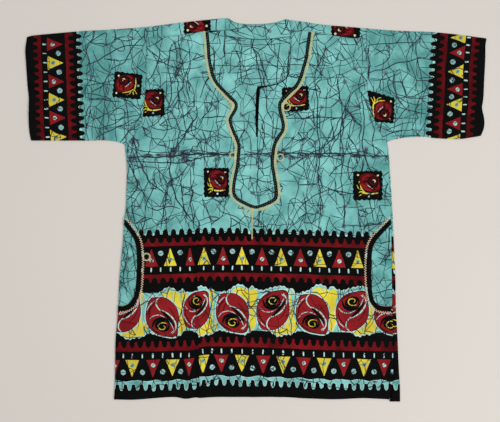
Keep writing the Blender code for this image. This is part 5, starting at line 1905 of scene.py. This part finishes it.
def sew_on(made):
    """Every thread on the front, each kind a piece of its own."""
    # Cream cotton, twisted: a light line with a faint gloss beside the black braid.
    cream = sewing_thread("cream_cotton_thread_chain_sewn", "#ccd0a0", "#a3b588")
    # Grey-green thread: dull flecks that break up the black of the braid.
    grey = sewing_thread("grey_green_thread_in_braid", "#6c6f5e", "#464b40")
    # Faded cream thread, a little pink: warm teeth along the pocket's edge.
    faded = sewing_thread("faded_cream_thread_zigzag", "#efe4c6", "#e0c09c")
    # Dark matt thread laid as a painted shadow: a thin dark line below the braid.
    dark = sewing_thread("dark_thread_painted_shadow", "#12171a", "#23282c", 0.9, 0.03, 0.08)
    chain, laid = chain_nodes(), thread_nodes()
    braid_path = smooth_path(NECK_BRAID, EDGE_STEP)
    made["chain"] = sewn("chain_stitch_outside_braid",
                         [offset_path(braid_path, -CHAIN_FROM_BRAID)], chain,
                         stitch(CHAIN, cream))
    made["flecks"] = sewn("flecks_in_braid", [braid_path], chain, stitch(FLECKS, grey))
    turn = np.linspace(0, 2 * math.pi, RING_POINTS, endpoint=False)
    circle = np.column_stack([np.cos(turn), np.sin(turn)])
    rings = [to_cloth([(u, v)]) + radius * circle for u, v, radius in RINGS]
    made["curls"] = sewn("stitched_curls", rings, chain, stitch(THIN_CHAIN, cream),
                         closed=True)
    hanging = [smooth_path(path, EDGE_STEP) for path in (PENDANT,) + PENDANT_FAN]
    made["pendant"] = sewn("pendant_stitch", hanging, chain, stitch(THIN_CHAIN, cream))
    # Painted shadow below the braid, laid as a dark thread.
    made["stem"] = sewn("painted_shadow_stitch_below_braid", [smooth_path(SHADOW_LINE_BELOW_BRAID, EDGE_STEP)], laid,
                        stitch(SHADOW_LINE_STITCH, dark))
    swings = []
    for table, side in ((BINDING_LEFT, -1), (BINDING_RIGHT, 1)):
        path = offset_path(smooth_path(table, EDGE_STEP), -side * ZIGZAG_FROM_BINDING)
        path = path[side * (side_edge(side, path[:, 1]) - path[:, 0]) > ZIGZAG_FROM_EDGE]
        swings.append(zigzag(path, ZIGZAG_PITCH, ZIGZAG_REACH))
    made["zigzag"] = sewn("zigzag_beside_pockets", swings, laid, stitch(POCKET_STITCH, faded))


def declare(made, area):
    """Hides the frame's parts that the pieces stand for, and hangs every piece on the root."""
    for key, node in (("back", "back_body"), ("front", "front_body"),
                      ("pocket_left", "pocket_left"), ("pocket_right", "pocket_right"),
                      ("facing", "neck_facing"), ("sleeve_left", "sleeve_left"),
                      ("sleeve_right", "sleeve_right"), ("braid", "neck_braid"),
                      ("binding_left", "pocket_binding_left"),
                      ("binding_right", "pocket_binding_right")):
        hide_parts(node)
    for piece in made.values():
        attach(piece, "root")


def dress():
    """Builds every piece, hides the frame's matching parts and hangs the pieces on the root."""
    stuffs = [printed_cotton(f"batik_cotton_{ink}_wax_printed", *INK_COLOURS[ink])
              for ink in INKS]
    made, area = make_cloths(stuffs)
    make_bands(made, stuffs)
    sew_on(made)
    declare(made, area)


# Table, lamps and camera, in metres. A lamp has a name, place, size and power in watts.
TABLE_HALF = 9.0
TABLE_DROP = 0.0004
LAMPS = (
    ("window", (2.3, -1.3, 2.4), 1.3, 66.0),
    ("ceiling", (-0.4, 0.5, 2.3), 2.2, 22.0),
)
ROOM_COLOUR = "#f0ede8"
ROOM_LIGHT = 0.5
LENS = 35.0
SENSOR = 36.0
SEEN_ACROSS = 1.0
CLOTH_TOP = 0.002
CAMERA_PLACE = (-0.012, -0.0025, SEEN_ACROSS * LENS / SENSOR + CLOTH_TOP)


def lay_table():
    """Wide table just under the cloth."""
    half, low = TABLE_HALF, -TABLE_DROP
    mesh = bpy.data.meshes.new("table")
    mesh.from_pydata([(-half, -half, low), (half, -half, low), (half, half, low),
                      (-half, half, low)], [], [(0, 1, 2, 3)])
    mesh.materials.append(table_top())
    add_object("table", mesh)


def hang_lamps():
    """Window-like light from one side, a ceiling light and a soft bright room."""
    for name, place, size, power in LAMPS:
        lamp = bpy.data.lights.new(name, "AREA")
        lamp.size = size
        lamp.energy = power
        obj = add_object(name, lamp)
        obj.location = place
        obj.rotation_euler = (-Vector(place)).to_track_quat("-Z", "Y").to_euler()
    world = bpy.data.worlds.new("soft_room")
    world.use_nodes = True
    background = world.node_tree.nodes["Background"]
    background.inputs["Color"].default_value = colour(ROOM_COLOUR)
    background.inputs["Strength"].default_value = ROOM_LIGHT
    bpy.context.scene.world = world


def set_camera():
    """Camera that looks straight down on the cloth."""
    view = bpy.data.cameras.new("camera")
    view.lens = LENS
    view.sensor_width = SENSOR
    camera = add_object("camera", view)
    camera.location = CAMERA_PLACE
    bpy.context.scene.camera = camera
    bpy.context.scene.view_settings.view_transform = "Standard"


dress()
lay_table()
hang_lamps()
set_camera()
